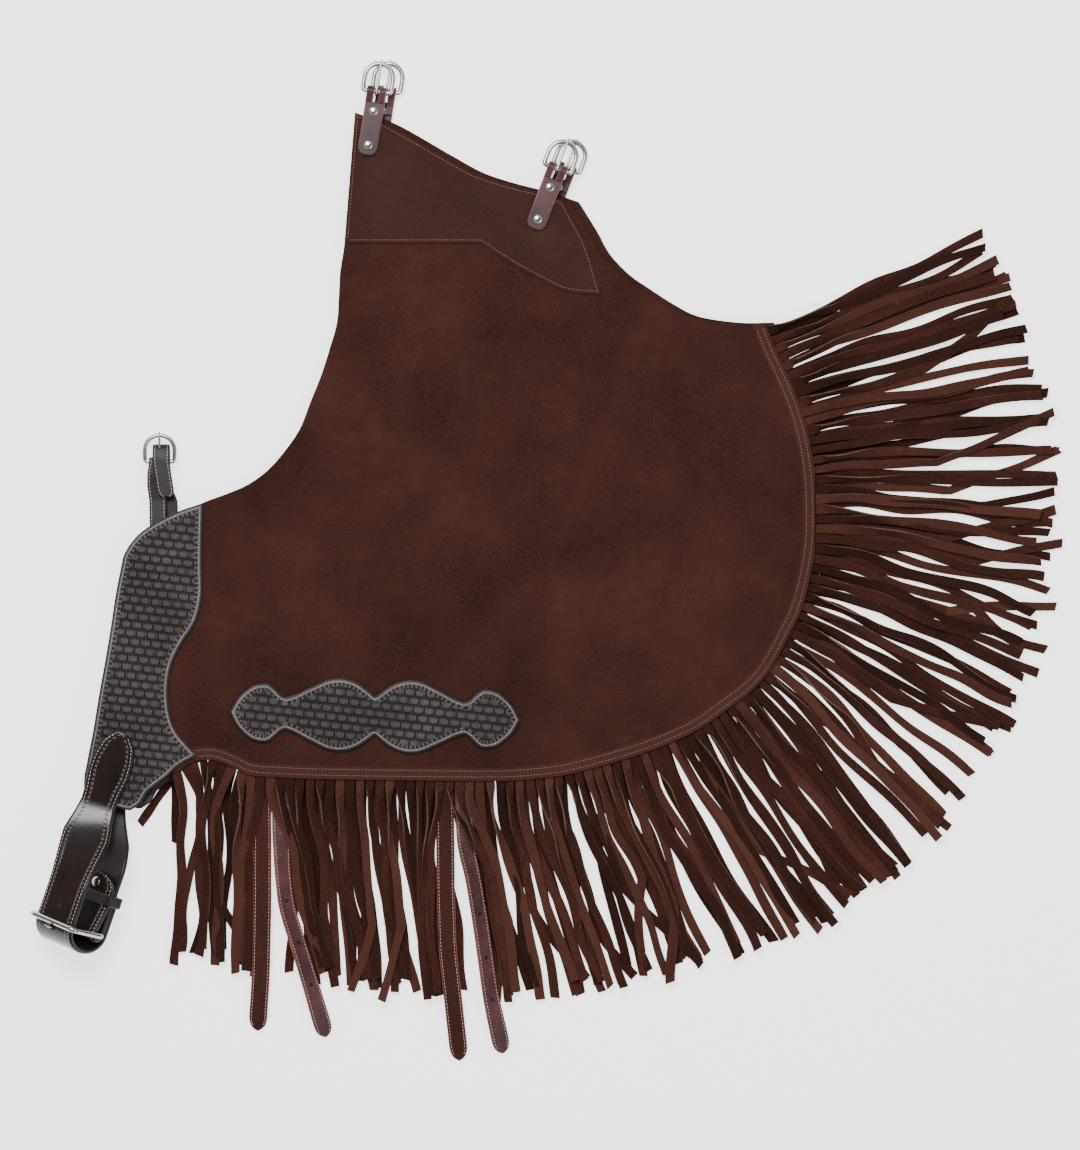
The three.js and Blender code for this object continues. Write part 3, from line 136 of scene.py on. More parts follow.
PHOTO_HEIGHT = 1150
PIXEL = 0.88e-3
CAMERA_HEIGHT = 5.0
camera = bpy.data.cameras.new("overhead_camera")
camera.sensor_width = 36
camera.lens = 36 * CAMERA_HEIGHT / (PHOTO_HEIGHT * PIXEL)
camera.clip_end = 50
viewpoint = bpy.data.objects.new("overhead_camera", camera)
viewpoint.location = (-0.0086, -0.0127, CAMERA_HEIGHT)
bpy.context.scene.collection.objects.link(viewpoint)
bpy.context.scene.camera = viewpoint


# The two leg panels. Chap hides of rough-out cowhide, split and brushed so that the nap shows in soft
# patches; each is cut as one flat piece, and the upper one sinks a little onto the lower in the open middle.
ORIGIN = np.array([342.9745, 194.0255, 0.0])
PANEL_LENGTH, PANEL_WIDTH = 577.0, 588.0
GAP, SUEDE, TOOLED = 0.3, 1.6, 3.0
INSIDE_LOWER, INSIDE_UPPER = 4.9, 11.3
YOKE_TIP = np.array([0.0671 * PANEL_LENGTH, 0.4154 * PANEL_WIDTH])
TOWER_LIFT = 3.8 + 2.1 + 0.3 + 2.6 - INSIDE_LOWER
LEGS = {
    "upper": {"side": 1, "base": INSIDE_UPPER, "shift": (0.0, 0.0), "sag": 5.0, "tilt": 0.35},
    "lower": {"side": -1, "base": INSIDE_LOWER, "shift": (8.0, 1.0), "sag": 0.0, "tilt": 1.0},
}
INNER_EDGE = np.array([
    [0.0000, 0.0314], [0.0396, 0.4027], [0.0701, 0.4177], [0.1067, 0.4311], [0.1372, 0.4446],
    [0.1677, 0.4671], [0.1951, 0.4985], [0.2149, 0.5284], [0.2317, 0.5704], [0.2470, 0.6078],
    [0.2591, 0.6452], [0.2713, 0.6901], [0.2744, 0.7515], [0.2820, 0.8039], [0.2881, 0.8802],
    [0.2965, 0.9993], [0.3521, 0.9775], [0.4299, 0.9341], [0.4771, 0.9087], [0.5213, 0.8937],
    [0.5793, 0.8787], [0.6250, 0.8638], [0.6524, 0.8204], [0.6723, 0.7859], [0.7012, 0.7560],
    [0.7317, 0.7350], [0.7698, 0.7111], [0.8079, 0.6931], [0.8689, 0.6841], [0.9223, 0.6841],
]) * [PANEL_LENGTH, PANEL_WIDTH]
HEM_EDGE = np.array([
    [0.0000, 0.0135], [0.0274, 0.0150], [0.0503, 0.0290], [0.0762, 0.0329], [0.1006, 0.0269],
    [0.1372, 0.0105], [0.1768, 0.0067], [0.2530, 0.0037], [0.3963, 0.0015], [0.4954, 0.0007],
    [0.5488, 0.0022], [0.6128, 0.0090], [0.6707, 0.0225], [0.7363, 0.0419], [0.7866, 0.0614],
    [0.8262, 0.0808], [0.8689, 0.1108], [0.9024, 0.1362], [0.9314, 0.1692], [0.9619, 0.2246],
    [0.9787, 0.2605], [0.9916, 0.3099], [0.9992, 0.3593], [1.0000, 0.4057], [0.9979, 0.4581],
    [0.9893, 0.5120], [0.9756, 0.5599], [0.9573, 0.6048], [0.9360, 0.6497], [0.9223, 0.6841],
]) * [PANEL_LENGTH, PANEL_WIDTH]


LIFT_FADE = (0.0701, 0.45)  # shares of the length where the yoke's lift fades out
THIGH_RISE = (0.3, 0.823)  # shares of the width over which the thigh is lifted
THIGH_SIDE, THIGH_FALL = 0.62, 2.43  # that lift fades past this share of the length, and how fast
HOLLOW_CENTRE, HOLLOW_RADII = (0.61, 0.45), (0.358, 0.262)  # where the open middle sinks
RIPPLE = 1.2  # height of the soft waves there


def ease(value):
    """0 below 0, 1 above 1, and the cubic 3t2 - 2t3 between."""
    t = np.clip(value, 0, 1)
    return t * t * (3 - 2 * t)


def inner_height(leg, x, y):
    """The leg's inner face over the table: its base, lifted along the yoke and up the thigh, less a round
    hollow with two crossing sine waves in the open middle."""
    along, across = x / PANEL_LENGTH, y / PANEL_WIDTH
    down = ((x - YOKE_TIP[0]) * -0.302 + (y - YOKE_TIP[1]) * -0.953) / 269
    fade = np.clip((along - LIFT_FADE[0]) / (LIFT_FADE[1] - LIFT_FADE[0]), 0, 1)
    waist = 1.45 * 4.5 * np.maximum(0, down) * (1 - fade)
    rise = (across - THIGH_RISE[0]) / (THIGH_RISE[1] - THIGH_RISE[0])
    thigh = TOWER_LIFT * np.maximum(0, rise - THIGH_FALL * np.maximum(0, along - THIGH_SIDE))
    off = (((along - HOLLOW_CENTRE[0]) / HOLLOW_RADII[0]) ** 2
           + ((across - HOLLOW_CENTRE[1]) / HOLLOW_RADII[1]) ** 2)
    hollow = np.maximum(0, 1 - off) ** 2
    wave = np.sin(13 * along + 5 * across) + np.sin(9 * along - 14 * across)
    return leg["base"] + waist + leg["tilt"] * thigh + hollow * (RIPPLE * wave - leg["sag"])


def place(x, y, z):
    """Millimetres on the panel's own corner to metres in the shared frame."""
    return (np.stack(np.broadcast_arrays(x, y, z), -1) - ORIGIN) / 1000


def on_leg(leg, x, y, out):
    """Points at x and y on a leg's panel, out millimetres outward from its inner face."""
    x, y = x + leg["shift"][0], y + leg["shift"][1]
    return place(x, y, inner_height(leg, x, y) + leg["side"] * out)


def run_along(curve):
    """The length along a polyline at each of its points, as the running sum of its steps."""
    return np.concatenate([[0], np.cumsum(np.linalg.norm(np.diff(curve, axis=0), axis=1))])


def rounded(points, spacing, closed=False):
    """A curve through the points, by Catmull-Rom cubics, resampled at an even spacing."""
    ring = np.vstack([points[-1:], points, points[:2]]) if closed else np.vstack(
        [2 * points[:1] - points[1:2], points, 2 * points[-1:] - points[-2:-1]])
    t = np.linspace(0, 1, 13)[:-1, None]
    a, b, c, d = (ring[i:len(ring) - 3 + i, None] for i in range(4))
    square, cube = 2 * a - 5 * b + 4 * c - d, 3 * b - a - 3 * c + d
    curve = 0.5 * (2 * b + (c - a) * t + square * t ** 2 + cube * t ** 3)
    curve = np.vstack([curve.reshape(-1, points.shape[1]), points[:1] if closed else points[-1:]])
    return evenly(curve, spacing)


def evenly(curve, spacing):
    """The same open polyline, with its points at one even spacing along it."""
    reach = run_along(curve)
    stops = np.linspace(0, reach[-1], max(2, int(round(reach[-1] / spacing)) + 1))
    return np.stack([np.interp(stops, reach, curve[:, k]) for k in range(curve.shape[1])], -1)


def cornered(points, corners, spacing):
    """A curve rounded between the listed corner points and sharp at them."""
    stops = [0, *corners, len(points) - 1]
    runs = [rounded(points[a:b + 1], spacing) for a, b in zip(stops, stops[1:])]
    return np.vstack([runs[0], *[run[1:] for run in runs[1:]]])


def near(points, curve):
    """For each point, its distance to a polyline and how far along the polyline that nearest place is."""
    a, step = curve[:-1], np.diff(curve, axis=0)
    size = np.linalg.norm(step, axis=1)
    reach = np.concatenate([[0], np.cumsum(size)])[:-1]
    far, run = np.full(len(points), 1e9), np.zeros(len(points))
    for start in range(0, len(points), 4000):
        part = points[start:start + 4000, None]
        t = np.clip(((part - a) * step).sum(-1) / size ** 2, 0, 1)
        gap = np.linalg.norm(part - a - t[..., None] * step, axis=-1)
        best = gap.argmin(1)
        rows = np.arange(len(best))
        far[start:start + 4000] = gap[rows, best]
        run[start:start + 4000] = (reach + t * size)[rows, best]
    return far, run


def slab(name, top, bottom, materials, **attributes):
    """A closed plate: one grid of points for each face, and a rim of quads round them with the second
    material. Attributes are grids of numbers for the top face."""
    rows, columns = top.shape[:2]
    n = np.arange(rows * columns).reshape(rows, columns)
    face = np.stack([n[:-1, :-1], n[1:, :-1], n[1:, 1:], n[:-1, 1:]], -1).reshape(-1, 4)
    ring = np.concatenate([n[:, 0], n[-1, 1:], n[::-1, -1][1:], n[0, ::-1][1:-1]])
    after = np.roll(ring, -1)
    rim = np.stack([ring, ring + n.size, after + n.size, after], -1)
    faces = np.vstack([face, face[:, ::-1] + n.size, rim])
    points = np.concatenate([top.reshape(-1, 3), bottom.reshape(-1, 3)])
    a, b, c = points[faces[0][0]], points[faces[0][1]], points[faces[0][2]]
    if np.dot(np.cross(b - a, c - a), top[0, 0] - bottom[0, 0]) < 0:
        faces = faces[:, ::-1]
    marks = np.concatenate([np.zeros(2 * len(face)), np.ones(len(rim))])
    made = new_object(name, points, faces, materials, marks)
    for key, values in attributes.items():
        both = np.concatenate([np.ravel(values), np.ravel(values)]).astype(np.float32)
        made.data.attributes.new(key, "FLOAT", "POINT").data.foreach_set("value", both)
    sharp = np.zeros(len(made.data.edges), bool)
    pairs = np.zeros(2 * len(sharp), np.int32)
    made.data.edges.foreach_get("vertices", pairs)
    on_ring = np.isin(pairs, np.concatenate([ring, ring + n.size])).reshape(-1, 2).all(1)
    same = (pairs.reshape(-1, 2) < n.size).sum(1) != 1
    sharp[on_ring & same] = True
    made.data.attributes.new("sharp_edge", "BOOLEAN", "EDGE").data.foreach_set("value", sharp)
    return made


def suede_material(name, dark, base, light, band=None, strips=False):
    """Rough-out cowhide: wide patches where the nap lies another way, a fine fibre grain, no gloss. Where a
    band colour is given, the last 11 mm before the hem take it. With strips, each strip has its own random
    value that darkens it nearly to black-brown or lightens it. This is partly the strip's own tone, and
    partly painted shade and painted light between the stacked strips."""
    material, tree, shader = new_material(name)
    spot = add_node(tree, "TexCoord").outputs["Object"]
    patch = add_node(tree, "TexNoise", {"Vector": spot, "Scale": 11.0, "Detail": 5.0, "Roughness": 0.62})
    cloud = add_node(tree, "MapRange", {"Value": patch, "From Min": 0.34, "From Max": 0.68})
    hue = add_node(tree, "Mix", {0: cloud, 6: linear(dark), 7: linear(base)}, data_type="RGBA")
    fibre = add_node(tree, "TexNoise", {"Vector": spot, "Scale": 620.0, "Detail": 3.0, "Roughness": 0.7})
    fleck = add_node(tree, "MapRange", {"Value": fibre, "From Min": 0.42, "From Max": 0.8, "To Max": 0.55})
    scuff = add_node(tree, "TexNoise", {"Vector": spot, "Scale": 17.0, "Detail": 7.0, "Roughness": 0.7})
    worn = add_node(tree, "MapRange", {"Value": scuff, "From Min": 0.5, "From Max": 0.74, "To Max": 0.42})
    both = add_node(tree, "Math", {0: fleck, 1: worn}, operation="MAXIMUM")
    tone = add_node(tree, "Mix", {0: both, 6: hue, 7: linear(light)}, data_type="RGBA")
    colour = tone
    relief = fibre
    if band is not None:
        hem = add_node(tree, "Attribute", attribute_name="hem_mm").outputs["Fac"]
        inside = add_node(tree, "MapRange",
                          {"Value": hem, "From Min": 10.0, "From Max": 12.5, "To Min": 0.55, "To Max": 0.0})
        colour = add_node(tree, "Mix", {0: inside, 6: colour, 7: linear(band)}, data_type="RGBA")
        near_edge = add_node(tree, "MapRange",
                             {"Value": hem, "From Max": 2.2, "To Min": 0.35, "To Max": 0.0})
        colour = add_node(tree, "Mix", {0: near_edge, 6: colour, 7: linear(dark)}, data_type="RGBA")
    # Painted shade and light: a random value per strip pulls some strips nearly to the black-brown of the
    # shadows between stacked strips, and lifts others towards the light colour. Part of it is the strips'
    # own differing tone.
    if strips:
        own = add_node(tree, "Attribute", attribute_name="strip_tone_and_shade").outputs["Fac"]
        deep = add_node(tree, "MapRange", {"Value": own, "From Max": 0.6, "To Min": 0.72, "To Max": 0.0})
        colour = add_node(tree, "Mix", {0: deep, 6: colour, 7: linear("#190a06")}, data_type="RGBA")
        pale = add_node(tree, "MapRange", {"Value": own, "From Min": 0.62, "To Max": 0.38})
        colour = add_node(tree, "Mix", {0: pale, 6: colour, 7: linear(light)}, data_type="RGBA")
    bump = add_node(tree, "Bump", {"Height": relief, "Strength": 0.55, "Distance": 0.0009})
    waves = add_node(tree, "Bump", {"Height": patch, "Strength": 0.35, "Distance": 0.006,
                                    "Normal": bump})
    feed(tree, shader, {"Base Color": colour, "Normal": waves, "Roughness": 0.96, "Specular IOR Level": 0.12,
                        "Sheen Weight": 0.07, "Sheen Roughness": 0.55, "Sheen Tint": linear("#9a6a58")})
    return material


chap_suede = suede_material("brushed_brown_suede", "#26110d", "#3a1f1a", "#4f3227", band="#462b26")
cut_suede = suede_material("raw_cut_suede_edge", "#210e0c", "#2d1714", "#42281f")
hem_curve = rounded(HEM_EDGE, 1.5)
hem_furthest = hem_curve[:, 0].argmax()
inner_curve = cornered(INNER_EDGE, [1, 15, 21], 1.5)
low_curve = hem_curve[:hem_furthest + 1]
top_curve = np.vstack([inner_curve, hem_curve[hem_furthest:][::-1][1:]])
columns = np.concatenate([low_curve[::3, 0], top_curve[::2, 0], np.arange(0, PANEL_LENGTH, 4.0)])
columns = np.unique(np.round(columns, 2))
columns = columns[(columns >= 0) & (columns <= hem_curve[:, 0].max() - 0.05)]
columns = columns[np.concatenate([[True], np.diff(columns) > 0.3])]
panel_low = np.interp(columns, np.maximum.accumulate(low_curve[:, 0]), low_curve[:, 1])
panel_top = np.interp(columns, np.maximum.accumulate(top_curve[:, 0]), top_curve[:, 1])
PANEL_ROWS = 76
panel_share = np.linspace(0, 1, PANEL_ROWS)
panel_x = np.repeat(columns[:, None], PANEL_ROWS, 1)
panel_y = panel_low[:, None] + (panel_top - panel_low)[:, None] * panel_share
hem_distance = near(np.stack([panel_x, panel_y], -1).reshape(-1, 2), hem_curve)[0]
panels = {}
for name, leg in LEGS.items():
    outer = on_leg(leg, panel_x, panel_y, SUEDE)
    inner = on_leg(leg, panel_x, panel_y, 0.0)
    panels[name] = slab(f"{name}_leg_hide", outer, inner, [chap_suede, cut_suede], hem_mm=hem_distance)
    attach(panels[name], "chaps")
    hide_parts(f"{name}_leg_panel")


# The thread. Waxed polyester in short lock stitches, each a small lozenge that dips into the leather at its
# ends; tan on the suede, grey-beige on the tooled and harness leather, pinkish white on the leg straps.
def thread_material(name, colour, shade):
    """Twisted thread: two tones mixed by a fine noise, half matt."""
    material, tree, shader = new_material(name)
    spot = add_node(tree, "TexCoord").outputs["Object"]
    twist = add_node(tree, "TexNoise", {"Vector": spot, "Scale": 900.0, "Detail": 1.0})
    tone = add_node(tree, "Mix", {0: twist, 6: linear(shade), 7: linear(colour)}, data_type="RGBA")
    feed(tree, shader, {"Base Color": tone, "Roughness": 0.6})
    return material


tan_thread = thread_material("tan_waxed_thread", "#8a6757", "#5c4036")
beige_thread = thread_material("beige_waxed_thread", "#c9c2ba", "#9a938b")
pink_thread = thread_material("pale_waxed_thread", "#d2b7b2", "#a98781")


def unit(vectors):
    """Each vector of an array, divided by its length."""
    return vectors / np.linalg.norm(vectors, axis=-1, keepdims=True)


def stitches(name, path, normal, thread, pitch=2.9, share=0.74, width=0.75, height=0.42):
    """Lozenges of three square rings along a path in metres: at each stitch the rings stand at -1/2, 0 and
    1/2 of its length, small, full and small, and the middle one stands proud along the normal."""
    reach = run_along(path)
    count = max(1, int(reach[-1] * 1000 / pitch))
    mid = (np.arange(count) + 0.5) * reach[-1] / count
    half = share * reach[-1] / count / 2
    stop = mid[:, None] + np.array([-half, 0, half])
    at = np.stack([np.interp(stop, reach, path[:, k]) for k in range(3)], -1)
    up = np.stack([np.interp(stop, reach, normal[:, k]) for k in range(3)], -1)
    up = unit(up)
    along = np.repeat((at[:, 2] - at[:, 0])[:, None], 3, 1)
    side = np.cross(up, along)
    side /= np.linalg.norm(side, axis=-1, keepdims=True) + 1e-12
    wide = np.array([0.45, 1.0, 0.45])[:, None, None] * width / 2000
    tall = np.array([0.15, 1.0, 0.15])[:, None, None] * height / 1000
    ring = np.array([[-1, 0], [1, 0], [0.7, 1], [-0.7, 1]])
    points = (at[:, :, None] + ring[:, :1] * wide * side[:, :, None]
              + (ring[:, 1:] * tall - (1 - ring[:, 1:]) * 0.0002) * up[:, :, None])
    quad = np.array([[j + 4 * i, (j + 1) % 4 + 4 * i, (j + 1) % 4 + 4 * i + 4, j + 4 * i + 4]
                     for i in range(2) for j in range(4)] + [[3, 2, 1, 0], [8, 9, 10, 11]])
    faces = (quad[None] + 12 * np.arange(count)[:, None, None]).reshape(-1, 4)
    return new_object(name, points, faces, [thread])


def offset_curve(curve, inward):
    """The curve moved sideways, to the left of its direction, by inward millimetres."""
    step = np.gradient(curve, axis=0)
    step /= np.linalg.norm(step, axis=1, keepdims=True) + 1e-12
    return curve + inward * np.stack([-step[:, 1], step[:, 0]], -1)


def leg_stitches(name, leg_name, curve, out, thread, slot_name, **how):
    """A row of stitches along a curve on a leg's outer side."""
    leg = LEGS[leg_name]
    path = on_leg(leg, curve[:, 0], curve[:, 1], out)
    row = stitches(name, path, np.tile([0.0, 0.0, leg["side"]], (len(path), 1)), thread, **how)
    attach(row, "chaps")


for name in LEGS:
    for row, inward in (("outer", 3.5), ("inner", 8.8)):
        start = int(0.015 * len(hem_curve))
        leg_stitches(f"{name}_hem_stitches_{row}", name, offset_curve(hem_curve[start:-2], inward), SUEDE,
                     tan_thread, "suede", width=0.8, height=0.35)


# The fringe. Each leg has a sewn-in band of the same suede, slit into strips about 8 mm wide; they have been
# handled, so they wave, turn near their roots to show the paler cut edge, gather in bunches and cross.
FRINGE_LENGTH, STRIP_WIDTH, STRIP_PITCH, FRINGE_THICKNESS = 205.0, 7.5, 8.6, 1.4
BAND_WIDTH, LAYER = 14.0, 1.7
DESCENT = {"lower": 20.0, "upper": 36.0}
STRAP_LEVEL, OVER_STRAPS = 6.8, 9.5
FAN = np.array([
    [0, 0.8, -92], [0.042, 0.82, -91.5], [0.144, 0.86, -84.3], [0.244, 0.9, -81.8], [0.343, 0.93, -73.8],
    [0.443, 0.92, -65.2], [0.554, 0.98, -53.9], [0.648, 1, -46.7], [0.706, 0.98, -28.8],
    [0.777, 0.99, -12.5], [0.847, 1, 0], [1, 1, 28.2],
])
FRINGE_PARTS = {"side": {"upper": (0.012, 0.328), "lower": (0.02, 0.328)},
                "hem": {"upper": (0.328, 0.997), "lower": (0.328, 0.997)}}
LEG_STRAP_WIDTH, LEG_STRAP_DROP, STRAP_THICKNESS = 16.0, 247.0, 2.4
LEG_STRAPS = [
    {"leg": "lower", "place": "high", "root": (0.1494, 0.0988), "hem": 0.1555, "drop": 0.907,
     "route": [[0, 0], [0.204, 0.003], [0.5, 0.003], [0.788, -0.003], [1, -0.017]]},
    {"leg": "upper", "place": "high", "root": (0.1814, 0.0988), "hem": 0.1852, "drop": 0.931,
     "route": [[0, 0], [0.153, 0], [0.35, 0.005], [0.494, 0.021], [0.678, 0.079], [0.839, 0.128],
               [1, 0.174]]},
    {"leg": "lower", "place": "low", "root": (0.4329, 0.0958), "hem": 0.4329, "drop": 1.0,
     "route": [[0, 0], [0.125, 0.005], [0.388, 0.007], [0.605, 0.014], [0.765, 0.032], [1, 0.057]]},
    {"leg": "upper", "place": "low", "root": (0.4604, 0.0958), "hem": 0.4634, "drop": 0.976,
     "route": [[0, 0], [0.234, 0.007], [0.361, 0.036], [0.522, 0.062], [0.785, 0.0985], [1, 0.145]]},
]


def strap_x(item, down):
    """X of a leg strap's middle at a distance below the hem, along the straight steps of its route."""
    drop = item["drop"] * LEG_STRAP_DROP
    route = np.array(item["route"])
    share = np.asarray(down) / drop
    slope = (route[-1, 1] - route[-2, 1]) / (route[-1, 0] - route[-2, 0])
    past = np.maximum(0, share - 1) * slope
    return item["hem"] * PANEL_LENGTH + (np.interp(share, route[:, 0], route[:, 1]) + past) * drop


def strip_step(x):
    """For a strip rooted at x over a pair of leg straps, the function of its distance down that keeps it
    aside."""
    room = (LEG_STRAP_WIDTH + STRIP_WIDTH) / 2 + GAP
    for left, right in ((LEG_STRAPS[0], LEG_STRAPS[1]), (LEG_STRAPS[2], LEG_STRAPS[3])):
        low, high = strap_x(left, 0) - room - 9, strap_x(right, 0) + room
        if low < x < high:
            side = -1 if x < (low + high) / 2 else 1
            order = int(abs(x - (low + high) / 2) / STRIP_PITCH)
            item = left if side < 0 else right
            return lambda down: strap_x(item, down) + side * (room + 0.6 + order * (STRIP_WIDTH + 0.6) * 0.6)
    return None


fringe_suede = suede_material("slit_suede_strip", "#28110b", "#3a1c16", "#5a382e", strips=True)
fringe_cut = suede_material("pale_slit_edge", "#3f2a22", "#5a4137", "#80655a")
hem_reach = run_along(HEM_EDGE)
HEM_RUN = hem_reach[-1]
STATIONS = 34
LOOSE_STRIPS = [((5.5, 6.0), (-25.6, -38.8)), ((5.6, 4.0), (5.6, -55.6))]


def fringe_strips(leg_name, part, seed):
    """Strips of four-cornered sections along a path: out from the hem in the fan's direction, with a long
    sine sideways, a pull towards the middle of its bunch, a turn about its own length that dies away, and a
    layer."""
    rng = np.random.default_rng(seed)
    leg = LEGS[leg_name]
    start, end = (share * HEM_RUN for share in FRINGE_PARTS[part][leg_name])
    count = int((end - start) / STRIP_PITCH)
    pitch = (end - start - 2 * GAP) / count
    run = start + GAP + (np.arange(count) + (0.5 if leg_name == "upper" else 0.92)) * pitch
    run = np.minimum(run, end - pitch / 2)
    root = np.stack([np.interp(run, hem_reach, HEM_EDGE[:, k]) for k in range(2)], -1)
    ahead = np.stack([np.interp(run + 4, hem_reach, HEM_EDGE[:, k]) for k in range(2)], -1)
    back = np.stack([np.interp(run - 4, hem_reach, HEM_EDGE[:, k]) for k in range(2)], -1)
    hem_aim = (ahead - back) / np.linalg.norm(ahead - back, axis=1, keepdims=True)
    outward = np.stack([hem_aim[:, 1], -hem_aim[:, 0]], -1)
    reach = np.interp(run / HEM_RUN, FAN[:, 0], FAN[:, 1]) * FRINGE_LENGTH
    length = reach * (1 + rng.uniform(-0.05, 0.045, count))
    stray = (rng.uniform(0, 1, count) < 0.2) * rng.normal(0, 6.5, count)
    turn = np.radians(np.interp(run / HEM_RUN, FAN[:, 0], FAN[:, 2]) + rng.normal(0, 2.0, count)
                      + stray.clip(-9, 9))
    bunch = np.cumsum(rng.uniform(0, 1, count) < 0.34)
    centre = np.array([run[bunch == b].mean() for b in bunch])
    pull = rng.uniform(0.1, 0.5, bunch.max() + 1)[bunch] * (centre - run)
    t = np.linspace(0, 1, STATIONS)[None]
    down = t * length[:, None]
    aim = np.stack([np.cos(turn), np.sin(turn)], -1)
    side = np.stack([-aim[:, 1], aim[:, 0]], -1)
    bend = ease(t * 3)[..., None]
    heading = outward[:, None] * (1 - bend) + aim[:, None] * bend
    heading = unit(heading)
    step = np.diff(down, axis=1, prepend=0)[..., None] * heading
    spine = root[:, None] + np.cumsum(step, axis=1)
    each = (count, 1)
    phase, beat = rng.uniform(0, 2 * np.pi, (2, count, 1))
    wave = rng.uniform(0.7, 3.0, each) * np.sin(t * rng.uniform(1.0, 2.2, each) * 2 * np.pi + phase)
    wave = (wave - wave[:, :1]) * ease(t * 2.5)
    shiver = rng.uniform(0.1, 0.6, each) * (np.sin(t * rng.uniform(12, 22, each) + beat) - np.sin(beat))
    wave = wave + shiver * ease(t * 6)
    curl = rng.normal(0, 2.6, each) * t ** 2
    kinked = (rng.uniform(0, 1, each) < 0.08) * rng.choice([-0.45, 0.45], each)
    curl = curl + kinked * np.maximum(0, down - rng.uniform(0.5, 0.75, each) * length[:, None])
    gather = pull[:, None] * np.sin(np.pi * np.clip(t * 0.72, 0, 1)) * 0.85
    spine = spine + (wave + curl + gather)[..., None] * side[:, None]
    descent = DESCENT[leg_name]
    level = ((2 if leg_name == "upper" else 0) + rng.integers(0, 2, count))[:, None] * LAYER
    level = level + rng.uniform(-0.1, 0.5, each) + 0.7 * np.sin(t * 9 + beat) ** 2
    if leg_name == "lower":
        level = np.maximum(level, 0.05)
    rooted = spine[:, :1] + np.array(leg["shift"])
    under = GAP if leg_name == "lower" else -GAP - FRINGE_THICKNESS
    at_root = inner_height(leg, rooted[..., 0], rooted[..., 1]) + under
    z = at_root + (level - at_root) * ease(down / descent)
    if (leg_name, part) == ("lower", "side"):
        for i, (start_at, end_at) in enumerate(LOOSE_STRIPS):
            spine[i] = np.array(start_at) + t[0][:, None] * (np.array(end_at) - start_at)
            down[i] = t[0] * np.linalg.norm(np.subtract(end_at, start_at))
    if leg_name == "upper":
        for i in range(count):
            aside = strip_step(root[i, 0])
            if aside is not None:
                keep = ease((down[i] - 8) / 70)
                spine[i, :, 0] = root[i, 0] + (aside(down[i]) - root[i, 0]) * keep + wave[i] * 0.5
                spine[i, :, 1] = root[i, 1] - down[i]
                over = OVER_STRAPS + (STRAP_LEVEL + 0.4 - OVER_STRAPS) * ease((down[i] - 62) / 30)
                z[i] = at_root[i] + (over - at_root[i]) * ease(down[i] / 30)
                side[i] = (1, 0)
    near_root = np.exp(-((t - rng.uniform(0.1, 0.22, each)) / rng.uniform(0.09, 0.2, each)) ** 2)
    roll = rng.normal(0, 0.16, each) + rng.normal(0.85, 0.35, each) * near_root
    roll = roll + rng.normal(0, 0.3, each) * np.sin(t * rng.uniform(3, 9, each) + phase)
    roll = np.where(turn[:, None] < -0.9, -roll, roll) * ease(down / 14)
    if leg_name == "lower":
        roll = roll * 0.3
    direction = np.gradient(spine, axis=1)
    direction = unit(direction)
    flat = np.stack([-direction[..., 1], direction[..., 0]], -1)
    half = STRIP_WIDTH / 2 * rng.uniform(0.94, 1.14, each)
    lift = z + FRINGE_THICKNESS / 2 + half * np.abs(np.sin(roll))
    width_dir = np.concatenate([flat * np.cos(roll)[..., None], np.sin(roll)[..., None]], -1)
    thick_dir = np.concatenate([-flat * np.sin(roll)[..., None], np.cos(roll)[..., None]], -1)
    narrow = 1 + 0.08 * np.sin(t * 11 + phase)
    middle = np.concatenate([spine + np.array(leg["shift"]), lift[..., None]], -1)
    skew = rng.uniform(-1.6, 1.6, each) * (t > 0.999)
    corners = []
    for u, v in ((-1, -1), (1, -1), (1, 1), (-1, 1)):
        ragged = u * skew[..., None] * np.concatenate([direction, np.zeros((count, STATIONS, 1))], -1)
        spread = u * (half * narrow)[..., None] * width_dir
        corners.append(middle + spread + v * 0.5 * FRINGE_THICKNESS * thick_dir + ragged)
    points = np.stack(corners, 2)
    quad = np.array([[j + 4 * i, (j + 1) % 4 + 4 * i, (j + 1) % 4 + 4 * i + 4, j + 4 * i + 4]
                     for i in range(STATIONS - 1) for j in range(4)])
    ends = np.array([[3, 2, 1, 0], np.arange(4) + 4 * (STATIONS - 1)])
    kinds = np.concatenate([np.tile([0, 1, 0, 1], STATIONS - 1), [1, 1]])
    one = np.vstack([quad, ends])
    faces = (one[None] + 4 * STATIONS * np.arange(count)[:, None, None]).reshape(-1, 4)
    points = (points.reshape(-1, 3) - ORIGIN) / 1000
    return points, faces, np.tile(kinds, count), np.repeat(rng.uniform(0, 1, count), 4 * STATIONS)


def band_ring(leg_name, part):
    """The uncut band under the hem's edge: a plate between the hem's curve and its copy 14 mm inward."""
    leg = LEGS[leg_name]
    start, end = (share * HEM_RUN for share in FRINGE_PARTS[part][leg_name])
    run = np.linspace(start + GAP, end - GAP, 160)
    rim = np.stack([np.interp(run, hem_reach, HEM_EDGE[:, k]) for k in range(2)], -1)
    inner = offset_curve(rim, BAND_WIDTH)
    x = np.stack([rim[:, 0], inner[:, 0]], 1) + leg["shift"][0]
    y = np.stack([rim[:, 1], inner[:, 1]], 1) + leg["shift"][1]
    z = inner_height(leg, x, y) + (GAP if leg_name == "lower" else -GAP - FRINGE_THICKNESS)
    return place(x, y, z + FRINGE_THICKNESS), place(x, y, z)


